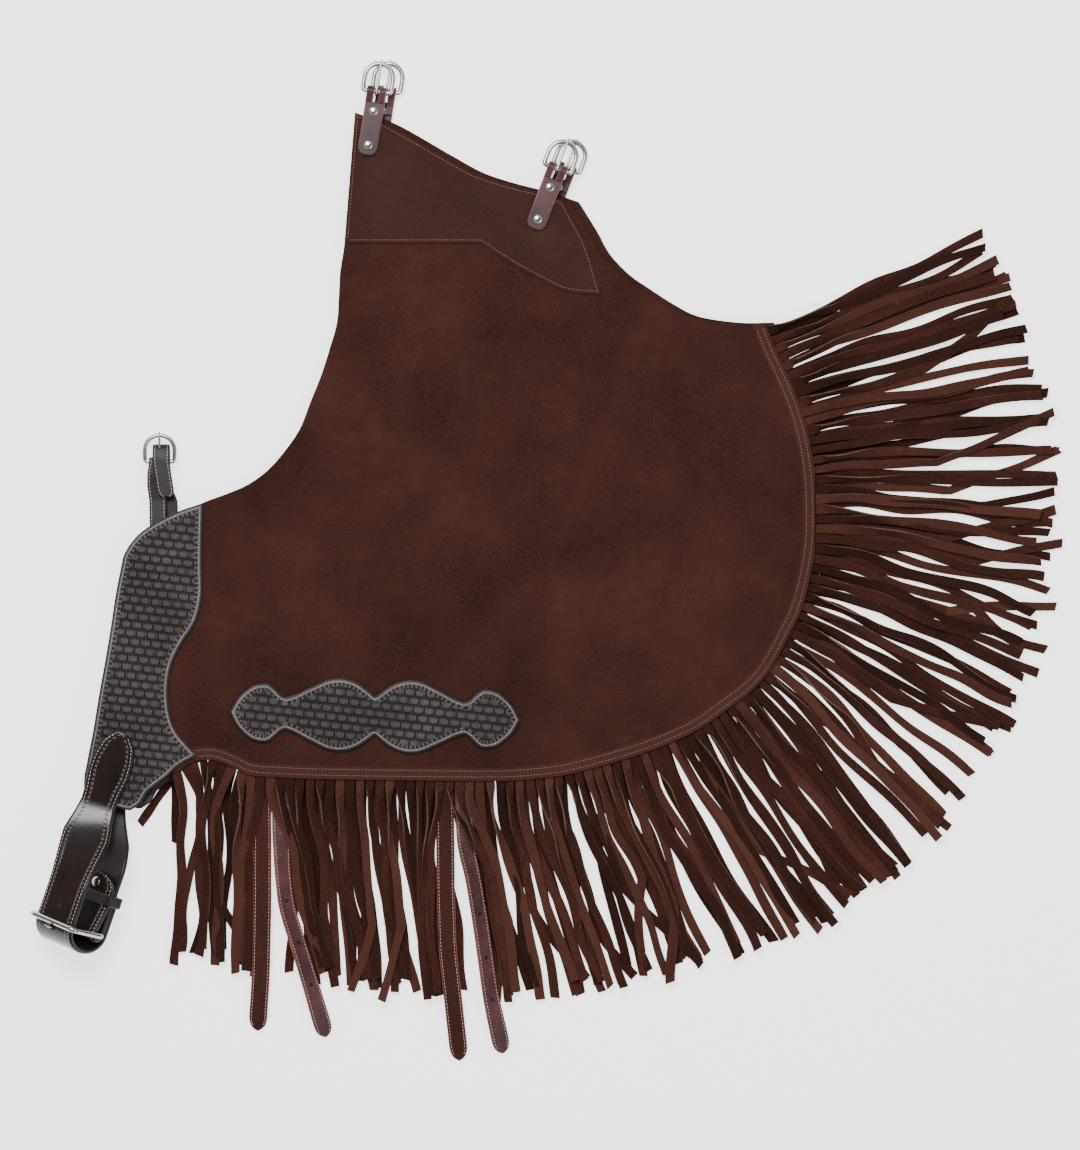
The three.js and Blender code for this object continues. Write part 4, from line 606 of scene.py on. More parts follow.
for name in LEGS:
    for part in FRINGE_PARTS:
        points, faces, kinds, tones = fringe_strips(name, part, 7 + 2 * (name == "upper") + (part == "hem"))
        piece = new_object(f"{name}_{part}_strips", points, faces, [fringe_suede, fringe_cut], kinds,
                           smooth=False)
        # Each strip's random value: partly its own tone, partly painted shade and light between the strips.
        piece.data.attributes.new("strip_tone_and_shade", "FLOAT", "POINT").data.foreach_set("value",
                                                                                   tones.astype(np.float32))
        top, bottom = band_ring(name, part)
        band = slab(f"{name}_{part}_band", top, bottom, [cut_suede, fringe_cut])
        for item in (piece, band):
            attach(item, "chaps")
        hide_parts(f"{name}_{part}_fringe")


# The thigh facings. A second layer of the same suede, a shade greyer, sewn on the outer side of each thigh
# extension to carry the leg straps' chapes; its free lower edge runs down to a point.
FACING = 1.6
FACING_LOW = np.array([[0.2820, 0.8039], [0.4889, 0.8039], [0.5351, 0.7740], [0.5945, 0.7425],
                       [0.6235, 0.7313], [0.6723, 0.7268]]) * [PANEL_LENGTH, PANEL_WIDTH]
FACING_RIGHT = np.array([
    [0.6143, 0.8668], [0.6311, 0.8368], [0.6524, 0.7949], [0.6723, 0.7290],
]) * [PANEL_LENGTH, PANEL_WIDTH]
facing_suede = suede_material("facing_suede", "#2b1713", "#37211d", "#4a312a")
facing_low = cornered(FACING_LOW, [1], 1.5)
facing_right = rounded(FACING_RIGHT, 1.5)
facing_x = columns[(columns > 162.9) & (columns < 387.6)]
facing_floor = np.interp(facing_x, facing_low[:, 0], facing_low[:, 1])
facing_roof = np.where(facing_x < FACING_RIGHT[0, 0], np.interp(facing_x, columns, panel_top),
                       np.interp(facing_x, facing_right[:, 0], facing_right[:, 1]))
facing_roof = np.maximum(facing_roof, facing_floor + 0.5)
across_share = np.linspace(0, 1, 26)
grid_x = np.repeat(facing_x[:, None], 26, 1)
grid_y = facing_floor[:, None] + (facing_roof - facing_floor)[:, None] * across_share
facing_ring = np.vstack([np.stack([facing_x, facing_floor], -1),
                         np.stack([facing_x, facing_roof], -1)[::-1]])
facing_ring = evenly(np.vstack([facing_ring, facing_ring[:1]]), 2.0)
for name, leg in LEGS.items():
    top = on_leg(leg, grid_x, grid_y, SUEDE + FACING)
    bottom = on_leg(leg, grid_x, grid_y, SUEDE + 0.05)
    piece = slab(f"{name}_thigh_layer", top, bottom, [facing_suede, cut_suede])
    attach(piece, "chaps")
    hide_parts(f"{name}_thigh_facing")
    seam = offset_curve(facing_ring, 2.6)[2:-2]
    leg_stitches(f"{name}_thigh_stitches", name, seam, SUEDE + FACING, tan_thread, "suede", width=0.75,
                 height=0.32)


# The yokes and the side plates. Vegetable-tanned leather 3 mm thick, cased and stamped by hand with a basket
# weave inside a border of single stamps, antiqued dark, its edges painted black and lock-stitched all round.
TOOLED_FROM = SUEDE + GAP
TOOLED_TO = TOOLED_FROM + TOOLED
YOKE_LENGTH, YOKE_WIDTH = 269.0, 104.0
YOKE_SECTIONS = np.array([
    [0, -0.0085, 0], [0.0278, -0.2153, -0.0017], [0.0704, -0.4322, -0.0042], [0.108, -0.5593, -0.0068],
    [0.162, -0.6585, -0.0085], [0.2111, -0.6915, -0.0085], [0.3028, -0.7373, -0.0085],
    [0.3879, -0.7695, -0.0636], [0.4534, -0.7966, -0.172], [0.5221, -0.8263, -0.2585],
    [0.5974, -0.8619, -0.2915], [0.6792, -0.8966, -0.2797], [0.7466, -0.9254, -0.2153],
    [0.8216, -0.9636, -0.0466], [0.856, -0.9797, -0.2034], [0.892, -0.9966, -0.3051],
    [0.9378, -0.9975, -0.4576], [0.9574, -0.9746, -0.4915], [0.9804, -0.8136, -0.5297],
    [1, -0.6356, -0.6017],
])
PLATE_LENGTH, PLATE_HALF, PLATE_TURN = 254.0, 32.0, -1.6
PLATE_CENTRE = np.array([0.3285 * PANEL_LENGTH, 0.0981 * PANEL_WIDTH])
PLATE_SCALLOPS = np.array([
    [0, 0.522], [0.042, 0.659], [0.111, 0.852], [0.18, 0.962], [0.249, 1], [0.332, 0.948], [0.415, 0.797],
    [0.484, 0.668], [0.554, 0.522], [0.616, 0.44], [0.644, 0.481], [0.685, 0.632], [0.727, 0.769],
    [0.775, 0.802], [0.844, 0.742], [0.907, 0.563], [0.955, 0.357], [1, 0.027],
])


def stamp_row(tree, run, edge, pitch, wave, tooth, line, wall):
    """A row of stamps: a wave of the run, cut to teeth, kept near a line inside the edge. Gives the marks
    and the line itself."""
    beat = add_node(tree, "Math", {0: run, 1: 2 * np.pi / pitch}, operation="MULTIPLY")
    swing = add_node(tree, "Math", {0: beat}, operation=wave)
    stamp = add_node(tree, "MapRange", {"Value": swing, "From Min": tooth[0], "From Max": tooth[1]})
    off_line = add_node(tree, "Math", {0: edge, 1: line}, operation="SUBTRACT")
    off_row = add_node(tree, "Math", {0: off_line}, operation="ABSOLUTE")
    row = add_node(tree, "MapRange", {"Value": off_row, "From Min": wall[0], "From Max": wall[1],
                                      "To Min": 1.0, "To Max": 0.0})
    mark = add_node(tree, "Math", {0: stamp, 1: row}, operation="MULTIPLY")
    return mark, row


def stamped_leather(name):
    """Antiqued stamped leather: domed basket blocks 9.4 by 7.4 mm in a running bond, with fine ribs, dark
    in the hollows and worn lighter on top; a border of stamps every 4.4 mm; black paint on the last
    millimetre."""
    material, tree, shader = new_material(name)
    spot = add_node(tree, "TexCoord").outputs["Object"]
    edge = add_node(tree, "Attribute", attribute_name="edge_mm").outputs["Fac"]
    run = add_node(tree, "Attribute", attribute_name="run_mm").outputs["Fac"]
    turned = add_node(tree, "Mapping", {"Vector": spot, "Rotation": (0, 0, 0.12)})
    split = add_node(tree, "SeparateXYZ", {"Vector": turned})
    row_at = add_node(tree, "Math", {0: split.outputs["Y"], 1: 1 / 0.0074}, operation="MULTIPLY")
    row_number = add_node(tree, "Math", {0: row_at}, operation="FLOOR")
    across = add_node(tree, "Math", {0: split.outputs["X"], 1: 1 / 0.0094}, operation="MULTIPLY")
    bond = add_node(tree, "Math", {0: row_number, 1: 0.5, 2: across}, operation="MULTIPLY_ADD")
    wave = []
    for share in (bond, row_at):
        angle = add_node(tree, "Math", {0: share, 1: np.pi}, operation="MULTIPLY")
        sine = add_node(tree, "Math", {0: angle}, operation="SINE")
        wave.append(add_node(tree, "Math", {0: sine}, operation="ABSOLUTE"))
    dome = add_node(tree, "Math", {0: wave[0], 1: wave[1]}, operation="MULTIPLY")
    block = add_node(tree, "MapRange", {"Value": dome, "From Min": 0.1, "From Max": 0.62})
    phase = add_node(tree, "Math", {0: split.outputs["X"], 1: 2 * np.pi / 0.0019}, operation="MULTIPLY")
    rib = add_node(tree, "Math", {0: phase}, operation="SINE")
    ribs = add_node(tree, "Math", {0: rib, 1: 0.2}, operation="MULTIPLY")
    weave_high = add_node(tree, "Math", {0: block, 1: ribs}, operation="ADD")
    field = add_node(tree, "MapRange", {"Value": edge, "From Min": 6.4, "From Max": 7.2})
    woven = add_node(tree, "Mix", {0: field, 2: 0.75, 3: weave_high}, data_type="FLOAT")
    mark = stamp_row(tree, run, edge, 4.4, "COSINE", (-0.1, 0.7), 5.1, (0.7, 1.3))[0]
    height = add_node(tree, "Math", {0: woven, 1: mark}, operation="SUBTRACT")
    grain = add_node(tree, "TexNoise", {"Vector": spot, "Scale": 260.0, "Detail": 4.0})
    patch = add_node(tree, "TexNoise", {"Vector": spot, "Scale": 22.0, "Detail": 3.0})
    level = add_node(tree, "MapRange", {"Value": height, "From Min": -0.1, "From Max": 1.0})
    dark = add_node(tree, "Mix", {0: level, 6: linear("#0b0808"), 7: linear("#423a3a")}, data_type="RGBA")
    rub = add_node(tree, "MapRange", {"Value": patch, "From Min": 0.42, "From Max": 0.72, "To Max": 0.65})
    worn = add_node(tree, "Math", {0: rub, 1: level}, operation="MULTIPLY")
    tone = add_node(tree, "Mix", {0: worn, 6: dark, 7: linear("#5b5150")}, data_type="RGBA")
    paint = add_node(tree, "MapRange", {"Value": edge, "From Min": 0.9, "From Max": 1.7})
    final = add_node(tree, "Mix", {0: paint, 6: linear("#0f0d0d"), 7: tone}, data_type="RGBA")
    carve = add_node(tree, "Bump", {"Height": height, "Strength": 1.0, "Distance": 0.0016})
    pores = add_node(tree, "Bump", {"Height": grain, "Strength": 0.25, "Distance": 0.0005,
                                    "Normal": carve})
    feed(tree, shader, {"Base Color": final, "Normal": pores, "Roughness": 0.48, "Specular IOR Level": 0.36})
    return material


def smooth_leather(name, dark, base, light, roughness, coat=0.0, stamps=False):
    """Finished grain leather: a soft cloud of two tones, fine pores and creases, worn light where it bends.
    With stamps, a serrated border is pressed 6 mm inside the edge, one tooth every 4 mm. The leather
    between the teeth takes a painted highlight, and the teeth are darkened."""
    material, tree, shader = new_material(name)
    spot = add_node(tree, "TexCoord").outputs["Object"]
    cloud = add_node(tree, "TexNoise", {"Vector": spot, "Scale": 30.0, "Detail": 5.0, "Roughness": 0.6})
    level = add_node(tree, "MapRange", {"Value": cloud, "From Min": 0.35, "From Max": 0.68})
    low = add_node(tree, "Mix", {0: level, 6: linear(dark), 7: linear(base)}, data_type="RGBA")
    pore = add_node(tree, "TexVoronoi", {"Vector": spot, "Scale": 900.0})
    crease = add_node(tree, "TexNoise", {"Vector": spot, "Scale": 210.0, "Detail": 7.0, "Roughness": 0.65})
    rub = add_node(tree, "MapRange", {"Value": crease, "From Min": 0.54, "From Max": 0.8, "To Max": 0.4})
    tone = add_node(tree, "Mix", {0: rub, 6: low, 7: linear(light)}, data_type="RGBA")
    height = crease
    if stamps:
        across = add_node(tree, "Attribute", attribute_name="across_mm").outputs["Fac"]
        half = add_node(tree, "Attribute", attribute_name="half_mm").outputs["Fac"]
        off_middle = add_node(tree, "Math", {0: across}, operation="ABSOLUTE")
        edge = add_node(tree, "Math", {0: half, 1: off_middle}, operation="SUBTRACT")
        run = add_node(tree, "Attribute", attribute_name="run_mm").outputs["Fac"]
        mark, row = stamp_row(tree, run, edge, 4.0, "SINE", (-0.4, 0.4), 6.2, (0.6, 1.2))
        # Painted highlight: along the stamped row, the leather between the teeth is lightened as if catching
        # the light, and the teeth themselves are darkened.
        raised = add_node(tree, "Math", {0: row, 1: mark}, operation="SUBTRACT")
        painted_highlight = add_node(tree, "Math", {0: raised, 1: 0.75}, operation="MULTIPLY")
        tone = add_node(tree, "Mix", {0: painted_highlight, 6: tone, 7: linear("#6a5751")}, data_type="RGBA")
        tone = add_node(tree, "Mix", {0: mark, 6: tone, 7: linear("#050303")}, data_type="RGBA")
        quiet = add_node(tree, "Math", {0: height, 1: 0.3}, operation="MULTIPLY")
        height = add_node(tree, "Math", {0: mark, 1: -4.0, 2: quiet}, operation="MULTIPLY_ADD")
    bump = add_node(tree, "Bump", {"Height": height, "Strength": 0.3, "Distance": 0.0006})
    fine = add_node(tree, "Bump", {"Height": pore, "Strength": 0.12, "Distance": 0.0003,
                                   "Normal": bump})
    feed(tree, shader,
         {"Base Color": tone, "Normal": fine, "Roughness": roughness, "Specular IOR Level": 0.34,
                        "Coat Weight": coat, "Coat Roughness": 0.22})
    return material


tooled_hide = stamped_leather("basket_stamped_leather")
black_edge = smooth_leather("black_painted_edge", "#0a0808", "#141010", "#2a2220", 0.4)
edge_weights = 0.5 - 0.5 * np.cos(np.pi * np.linspace(0, 1, 46))
yoke_rows = cornered(YOKE_SECTIONS * [YOKE_LENGTH, YOKE_WIDTH, YOKE_WIDTH], [13], 1.6)
yoke_side = [np.stack([YOKE_TIP[0] + yoke_rows[:, k], YOKE_TIP[1] - yoke_rows[:, 0]], -1) for k in (1, 2)]
mirrored = PLATE_SCALLOPS[:0:-1] * [-1, 1]
plate_rows = cornered(np.vstack([mirrored, PLATE_SCALLOPS]) * [PLATE_LENGTH / 2, PLATE_HALF], [8, 17, 26],
                      1.4)
plate_aim = np.array([np.cos(np.radians(PLATE_TURN)), np.sin(np.radians(PLATE_TURN))])
plate_cross = np.array([-plate_aim[1], plate_aim[0]])
plate_side = [PLATE_CENTRE + plate_rows[:, :1] * plate_aim + k * plate_rows[:, 1:]
              * plate_cross for k in (-1, 1)]
TOOLED_PLATES = {
    "yoke": ("waist_yoke", yoke_side), "side_plate": ("scalloped_plate", plate_side),
}


def tooled_plate(leg_name, node, piece_name, sides):
    """A plate between two side curves: each row runs straight across, with its points closest at the edges,
    and the top rolls down by 0.7 mm within 1.4 mm of the outline."""
    leg = LEGS[leg_name]
    flat = sides[0][:, None] + (sides[1] - sides[0])[:, None] * edge_weights[:, None]
    ring = evenly(np.vstack([sides[0], sides[1][::-1], sides[0][:1]]), 1.0)
    far, run = near(flat.reshape(-1, 2), ring)
    far, run = far.reshape(flat.shape[:2]), run.reshape(flat.shape[:2])
    drop = 0.7 * (1 - ease(far / 1.4))
    top = on_leg(leg, flat[..., 0], flat[..., 1], TOOLED_TO - drop)
    bottom = on_leg(leg, flat[..., 0], flat[..., 1], TOOLED_FROM)
    piece = slab(f"{leg_name}_{piece_name}", top, bottom, [tooled_hide, black_edge], edge_mm=far, run_mm=run)
    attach(piece, "chaps")
    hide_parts(f"{leg_name}_{node}")
    turn = 1 if np.cross(ring[1] - ring[0], ring[len(ring) // 2] - ring[0]) > 0 else -1
    seam = offset_curve(ring, turn * 2.7)
    keep = near(seam, ring)[0] > 2.3
    leg_stitches(f"{leg_name}_{node}_stitches", leg_name, seam[keep], TOOLED_TO - 0.02, beige_thread,
                 "tooled_leather", pitch=2.4, width=0.7, height=0.3)


for name in LEGS:
    for node, (piece_name, sides) in TOOLED_PLATES.items():
        tooled_plate(name, node, piece_name, sides)


# The leg straps. Latigo 16 mm wide, two plies stitched together along both edges, punched every 38 mm and
# cut to a round point; on the upper leg the waxed plum face is up, on the lower leg the suede back.
latigo_face = smooth_leather("waxed_plum_latigo", "#34171a", "#52282c", "#7f5658", 0.58, coat=0.03)
latigo_back = suede_material("latigo_suede_back", "#2d1612", "#391f1a", "#53352b")
latigo_edge = smooth_leather("burnished_latigo_edge", "#5a2c20", "#84473a", "#945c4d", 0.55)
hole_dark, tree, shader = new_material("punched_hole_shadow")
feed(tree, shader, {"Base Color": linear("#120b09"), "Roughness": 0.9})


def swept(name, path, across, up, half, thick, materials, closed=False, radius=0.4, **attributes):
    """A strap: sixteen-cornered sections, flat above and below with rounded edges, carried along a path in
    metres. The face, the two edges and the back take the three materials."""
    soft = np.minimum(radius * thick, half / 2)[:, None]
    wide, tall = half[:, None], thick[:, None] / 2
    signs = np.array([[-1, -1], [1, -1], [1, 1], [-1, 1]])
    inset = [[1.6, 0], [1, 0], [0.29, 0.29], [0, 1]]
    u, v = [], []
    for k, (su, sv) in enumerate(signs):
        for du, dv in inset[::-1] if k % 2 == 0 else inset:
            u.append(su * (wide - du * soft))
            v.append(sv * (tall - dv * soft))
    u, v = np.concatenate(u, 1), np.concatenate(v, 1)
    points = path[:, None] + (u[..., None] * across[:, None] + v[..., None] * up[:, None]) / 1000
    n, sides = len(path), u.shape[1]
    count = n if closed else n - 1
    ring = np.arange(sides)
    i = np.arange(count)[:, None]
    a, b = sides * i + ring, sides * i + np.roll(ring, -1)
    c, d = sides * ((i + 1) % n) + np.roll(ring, -1), sides * ((i + 1) % n) + ring
    faces = np.stack([a, b, c, d], -1).reshape(-1, 4)
    kind = np.tile([1, 1, 2, 2, 2, 1, 1, 1, 1, 1, 0, 0, 0, 1, 1, 1], count)
    everything = faces.tolist()
    if not closed:
        everything += [ring[::-1].tolist(), (ring + sides * (n - 1)).tolist()]
        kind = np.concatenate([kind, [1, 1]])
    spine = np.cross(path[1] - path[0], across[0])
    if np.dot(spine, up[0]) > 0:
        everything = [face[::-1] for face in everything]
    made = new_object(name, points, everything, materials, kind)
    for key, values in {"across_mm": u, "half_mm": half, **attributes}.items():
        values = np.broadcast_to(values if np.ndim(values) == 2 else np.asarray(values)[:, None], u.shape)
        made.data.attributes.new(key, "FLOAT", "POINT").data.foreach_set("value",
                                                                         values.ravel().astype(np.float32))
    return made


def edge_stitches(name, metres, across, up, off, lift, keep, thread, slot_name, **how):
    """A row of stitches along each side of a strap: off millimetres from its middle, lifted to its face."""
    for side, side_name in ((-1, "left"), (1, "right")):
        line = metres + (side * off[:, None] * across + lift * up) / 1000
        row = stitches(f"{name}_stitches_{side_name}", line[keep], up[keep], thread, **how)
        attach(row, "chaps")


def disc(name, centre, normal, radius, material):
    """A flat round of 20 corners, for the dark of a punched hole."""
    normal = np.asarray(normal, float) / np.linalg.norm(normal)
    first = np.cross(normal, [0.3, 0.5, 0.8])
    first /= np.linalg.norm(first)
    second = np.cross(normal, first)
    angle = np.linspace(0, 2 * np.pi, 20, endpoint=False)[:, None]
    rim = np.asarray(centre) + radius / 1000 * (np.cos(angle) * first + np.sin(angle) * second)
    return new_object(name, rim, [list(range(20))], [material])


ACROSS, UP = np.array([1.0, 0, 0]), np.array([0, 0, 1.0])
TIP_SHARE = np.array([[0, 0.1], [0.04, 0.32], [0.16, 0.6], [0.3, 0.78], [0.45, 0.9], [0.65, 0.975],
                      [0.85, 1], [40, 1]])
for item in LEG_STRAPS:
    leg = LEGS[item["leg"]]
    drop = item["drop"] * LEG_STRAP_DROP
    root = np.array(item["root"]) * [PANEL_LENGTH, PANEL_WIDTH]
    hem_x = item["hem"] * PANEL_LENGTH
    hem_y = float(np.interp(hem_x, np.maximum.accumulate(low_curve[:, 0]), low_curve[:, 1]))
    shut = -GAP - STRAP_THICKNESS if item["leg"] == "upper" else GAP
    inner_y = hem_y + BAND_WIDTH + 8
    landing = min(FRINGE_LENGTH, drop - 1.2 * LEG_STRAP_WIDTH)
    keys = [(root[0], root[1] + 8, inner_height(leg, root[0], root[1] + 8) + shut)]
    mid_x = root[0] + (hem_x - root[0]) * 0.4
    keys.append((mid_x, inner_y + BAND_WIDTH, inner_height(leg, mid_x, inner_y + BAND_WIDTH) + shut))
    for y in (inner_y, hem_y):
        keys.append((hem_x, y, inner_height(LEGS["lower"], hem_x, y) + FRINGE_THICKNESS + 2 * GAP))
    path = evenly(np.array(keys), 3.0)
    below = np.arange(3.0, drop + 0.1, 1.6)
    sunk = STRAP_LEVEL + (2 * GAP - STRAP_LEVEL) * ease((below - landing) / (drop - landing))
    z = keys[-1][2] + (sunk - keys[-1][2]) * ease(below / 14)
    tail = np.stack([strap_x(item, below), hem_y - below, z], -1)
    tail[:, 0] = np.convolve(np.pad(tail[:, 0], 7, mode="edge"), np.ones(15) / 15, mode="valid")
    tail = tail[below < drop - 0.2]
    path = np.vstack([path, tail])
    path[:, 2] += STRAP_THICKNESS / 2
    left = run_along(path)
    left = left[-1] - left
    half = LEG_STRAP_WIDTH / 2 * np.interp(left / LEG_STRAP_WIDTH, TIP_SHARE[:, 0], TIP_SHARE[:, 1])
    along = np.gradient(path, axis=0)
    along = unit(along)
    across = np.cross(np.tile(UP, (len(path), 1)), along)
    across /= -np.linalg.norm(across, axis=1, keepdims=True)
    up = np.cross(across, along)
    up *= np.sign(up[:, 2:])
    if item["leg"] == "upper":
        lean = np.radians(34) * ease((hem_y - 25 - path[:, 1]) / 60) * (1 - 0.55 * ease(1 - left / 70))
        path[:, 2] += half * np.sin(lean)
        turned = [across * np.cos(lean)[:, None] + up * np.sin(lean)[:, None],
                  up * np.cos(lean)[:, None] - across * np.sin(lean)[:, None]]
        across, up = turned
    metres = place(path[:, 0], path[:, 1], path[:, 2])
    faces = [latigo_face, latigo_edge, latigo_back]
    if item["leg"] == "lower":
        faces = faces[::-1]
    strap_name = f"{item['leg']}_leg_thong_{item['place']}"
    piece = swept(strap_name, metres, across, up, half, np.full(len(path), STRAP_THICKNESS), faces)
    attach(piece, "chaps")
    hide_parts(f"{item['leg']}_leg_strap_{item['place']}")
    edge_stitches(strap_name, metres, across, up, np.maximum(half - 2.1, 0.6), STRAP_THICKNESS / 2,
                  (left > 4) & (half > 3), pink_thread, "latigo", pitch=3.0, width=0.7, height=0.3)
    for number in range(3):
        spot = np.abs(left - 49 - 38 * number).argmin()
        dot = disc(f"{strap_name}_hole_{number + 1}",
                   metres[spot] + up[spot] * (STRAP_THICKNESS / 2 + 0.08) / 1000,
                   up[spot], 1.9, hole_dark)
        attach(dot, "chaps")


# The leg buckles. Each chape is a burgundy latigo strap turned over the bar of a small horseshoe buckle of
# polished stainless steel and held to the facing by two domed rivets; its slot lets the tongue through.
steel, tree, shader = new_material("polished_stainless_steel")
spot = add_node(tree, "TexCoord").outputs["Object"]
scratch = add_node(tree, "TexNoise", {"Vector": spot, "Scale": 500.0, "Detail": 3.0})
shine = add_node(tree, "MapRange", {"Value": scratch, "To Min": 0.1, "To Max": 0.24})
feed(tree, shader, {"Base Color": linear("#a5a29e"), "Metallic": 1.0, "Roughness": shine})
chape_face = smooth_leather("burgundy_latigo", "#2c1216", "#4a2128", "#6d3d43", 0.5, coat=0.05)
chape_edge = smooth_leather("burgundy_edge", "#512d2b", "#7d514f", "#8d645f", 0.5)
CHAPE_FACE, CHAPE_THICKNESS, CHAPE_WIDTH = 3.8, 2.2, 17.3
BAR_RADIUS, BUCKLE_SIZE, BAR_ABOVE = 2.1, 29.0, 24.5
RIVET_BELOW, RIVET_ABOVE, RIVET_HEAD = 22.7, 7.3, 4.4
CHAPES = {"high": ((0.3247, 0.988), -9.0), "low": ((0.5902, 0.8751), -21.0)}


def tube(name, path, radius, normal, material, closed=False, sides=14):
    """A round wire: circles square to a path in one plane, whose radius may change along it."""
    n = len(path)
    along = (np.roll(path, -1, 0) - np.roll(path, 1, 0)) if closed else np.gradient(path, axis=0)
    along = unit(along)
    side = np.cross(along, normal)
    side = unit(side)
    angle = np.linspace(0, 2 * np.pi, sides, endpoint=False)[None, :, None]
    ring = np.cos(angle) * side[:, None] + np.sin(angle) * np.cross(side, along)[:, None]
    points = path[:, None] + np.broadcast_to(np.asarray(radius, float), (n,))[:, None, None] * ring
    i, j = np.arange(n if closed else n - 1)[:, None], np.arange(sides)
    k, m = (i + 1) % n, (j + 1) % sides
    quads = np.stack([i * sides + j, k * sides + j, k * sides + m, i * sides + m], -1)
    faces = quads.reshape(-1, 4)[:, ::-1].tolist()
    if not closed:
        faces += [np.arange(sides).tolist(), (np.arange(sides)[::-1] + (n - 1) * sides).tolist()]
    quad = [points.reshape(-1, 3)[c] for c in faces[0]]
    if np.dot(np.cross(quad[1] - quad[0], quad[2] - quad[1]), np.mean(quad, 0) - path[:2].mean(0)) < 0:
        faces = [face[::-1] for face in faces]
    return new_object(name, points, faces, [material])


def dome_rivet(name, at, axis, head, burr, material):
    """A rivet spun round its axis: a domed head over its base height, a post, and a flat burr below."""
    r = RIVET_HEAD
    arc = np.radians(np.linspace(90, 0, 9))
    profile = np.array([[r * np.cos(a), head + 0.35 + 1.45 * np.sin(a)] for a in arc]
                       + [[r, head], [1.5, head],
                       [1.5, burr], [3.4, burr], [3.4, burr - 0.6], [3.0, burr - 0.8], [0, burr - 0.8]])
    axis = axis / np.linalg.norm(axis)
    first = np.cross(axis, [0.2, 0.9, 0.4])
    first /= np.linalg.norm(first)
    angle = np.linspace(0, 2 * np.pi, 24, endpoint=False)[None, :, None]
    around = np.cos(angle) * first + np.sin(angle) * np.cross(axis, first)
    points = at + (profile[:, None, :1] * around + profile[:, None, 1:] * axis) / 1000
    i, j = np.arange(len(profile) - 1)[:, None], np.arange(24)
    faces = np.stack([i * 24 + j, (i + 1) * 24 + j, (i + 1) * 24 + (j + 1) % 24, i * 24 + (j + 1) % 24], -1)
    return new_object(name, points, faces.reshape(-1, 4), [material])


def horseshoe(width, length, radius):
    """The middle line of a horseshoe buckle: a straight bar on X, then a half circle towards +Y."""
    half = width / 2 - radius
    spring = length - 2 * radius - half
    arc = np.linspace(0, np.pi, 13)
    points = [[-0.7 * half, 0, 0], [0, 0, 0], [0.7 * half, 0, 0], [0.94 * half, 0.07 * half, 0],
              [half, 0.3 * half, 0]]
    points += [[half * np.cos(a), spring + half * np.sin(a), 0] for a in arc]
    points += [[-half, 0.3 * half, 0], [-0.94 * half, 0.07 * half, 0]]
    return rounded(np.array(points), 1.0, closed=True)[:-1]


def tongue_line(bar, reach, rest):
    """The middle line of a tongue in the YZ plane: round the bar from below, over it, then straight to its
    rest."""
    turn = np.radians(np.linspace(-215, 8, 20))
    r = bar + 1.25
    loop = np.stack([0 * turn, r * np.sin(turn), r * np.cos(turn)], -1)
    prong = np.linspace(0, 1, 14)[1:, None] * (np.array([0, reach, rest]) - loop[-1]) + loop[-1]
    return np.vstack([loop, prong])


def chape_strap(name, world, flat, materials):
    """A chape's middle line in its own YZ plane: the front from its round end up to the bar, round the bar
    in a half turn, and back down behind; past the slot it is two rails, one at each side of the tongue."""
    front, wrap = CHAPE_FACE + CHAPE_THICKNESS / 2, BAR_RADIUS + GAP + CHAPE_THICKNESS / 2
    end, slot_at, half = -RIVET_BELOW - 9.5, BAR_ABOVE - 9.7, CHAPE_WIDTH / 2
    y = np.linspace(end, slot_at + 0.4, 34)
    share = np.interp((y - end) / CHAPE_WIDTH, [0, 0.03, 0.1, 0.2, 0.33, 0.5, 9],
                      [0.16, 0.42, 0.68, 0.86, 0.97, 1, 1])
    line = np.stack([0 * y, y, np.full_like(y, front)], -1)
    rise = np.linspace(slot_at, BAR_ABOVE, 6)[:-1]
    turn = np.radians(np.linspace(0, 180, 19))
    over = np.stack([BAR_ABOVE + wrap * np.sin(turn), CHAPE_FACE + wrap * np.cos(turn)], -1)
    up_front = np.stack([rise, np.interp(rise, [slot_at, BAR_ABOVE], [front, CHAPE_FACE + wrap])], -1)
    back = np.array([[12.0, CHAPE_FACE - GAP - CHAPE_THICKNESS / 2],
                     [4.2, CHAPE_FACE - GAP - CHAPE_THICKNESS / 2]])
    rail = evenly(np.vstack([up_front, over, back]), 1.0)
    made = []
    rails = [(f"{name}_front", line, half * share)]
    for side in (-1, 1):
        wide = (half - 2.3) / 2
        path = np.stack([np.full(len(rail), side * (2.3 + wide)), rail[:, 0], rail[:, 1]], -1)
        rails.append((f"{name}_loop_{'left' if side < 0 else 'right'}", path, np.full(len(rail), wide)))
    for piece_name, path, width in rails:
        along = np.gradient(path, axis=0)
        along = unit(along)
        up = np.cross(np.tile(ACROSS, (len(path), 1)), along)
        piece = swept(piece_name, world(path), np.tile(flat(ACROSS), (len(path), 1)), up @ flat(np.eye(3)),
                      width, np.full(len(path), CHAPE_THICKNESS), materials)
        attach(piece, "chaps")
        made.append(piece)
    return made


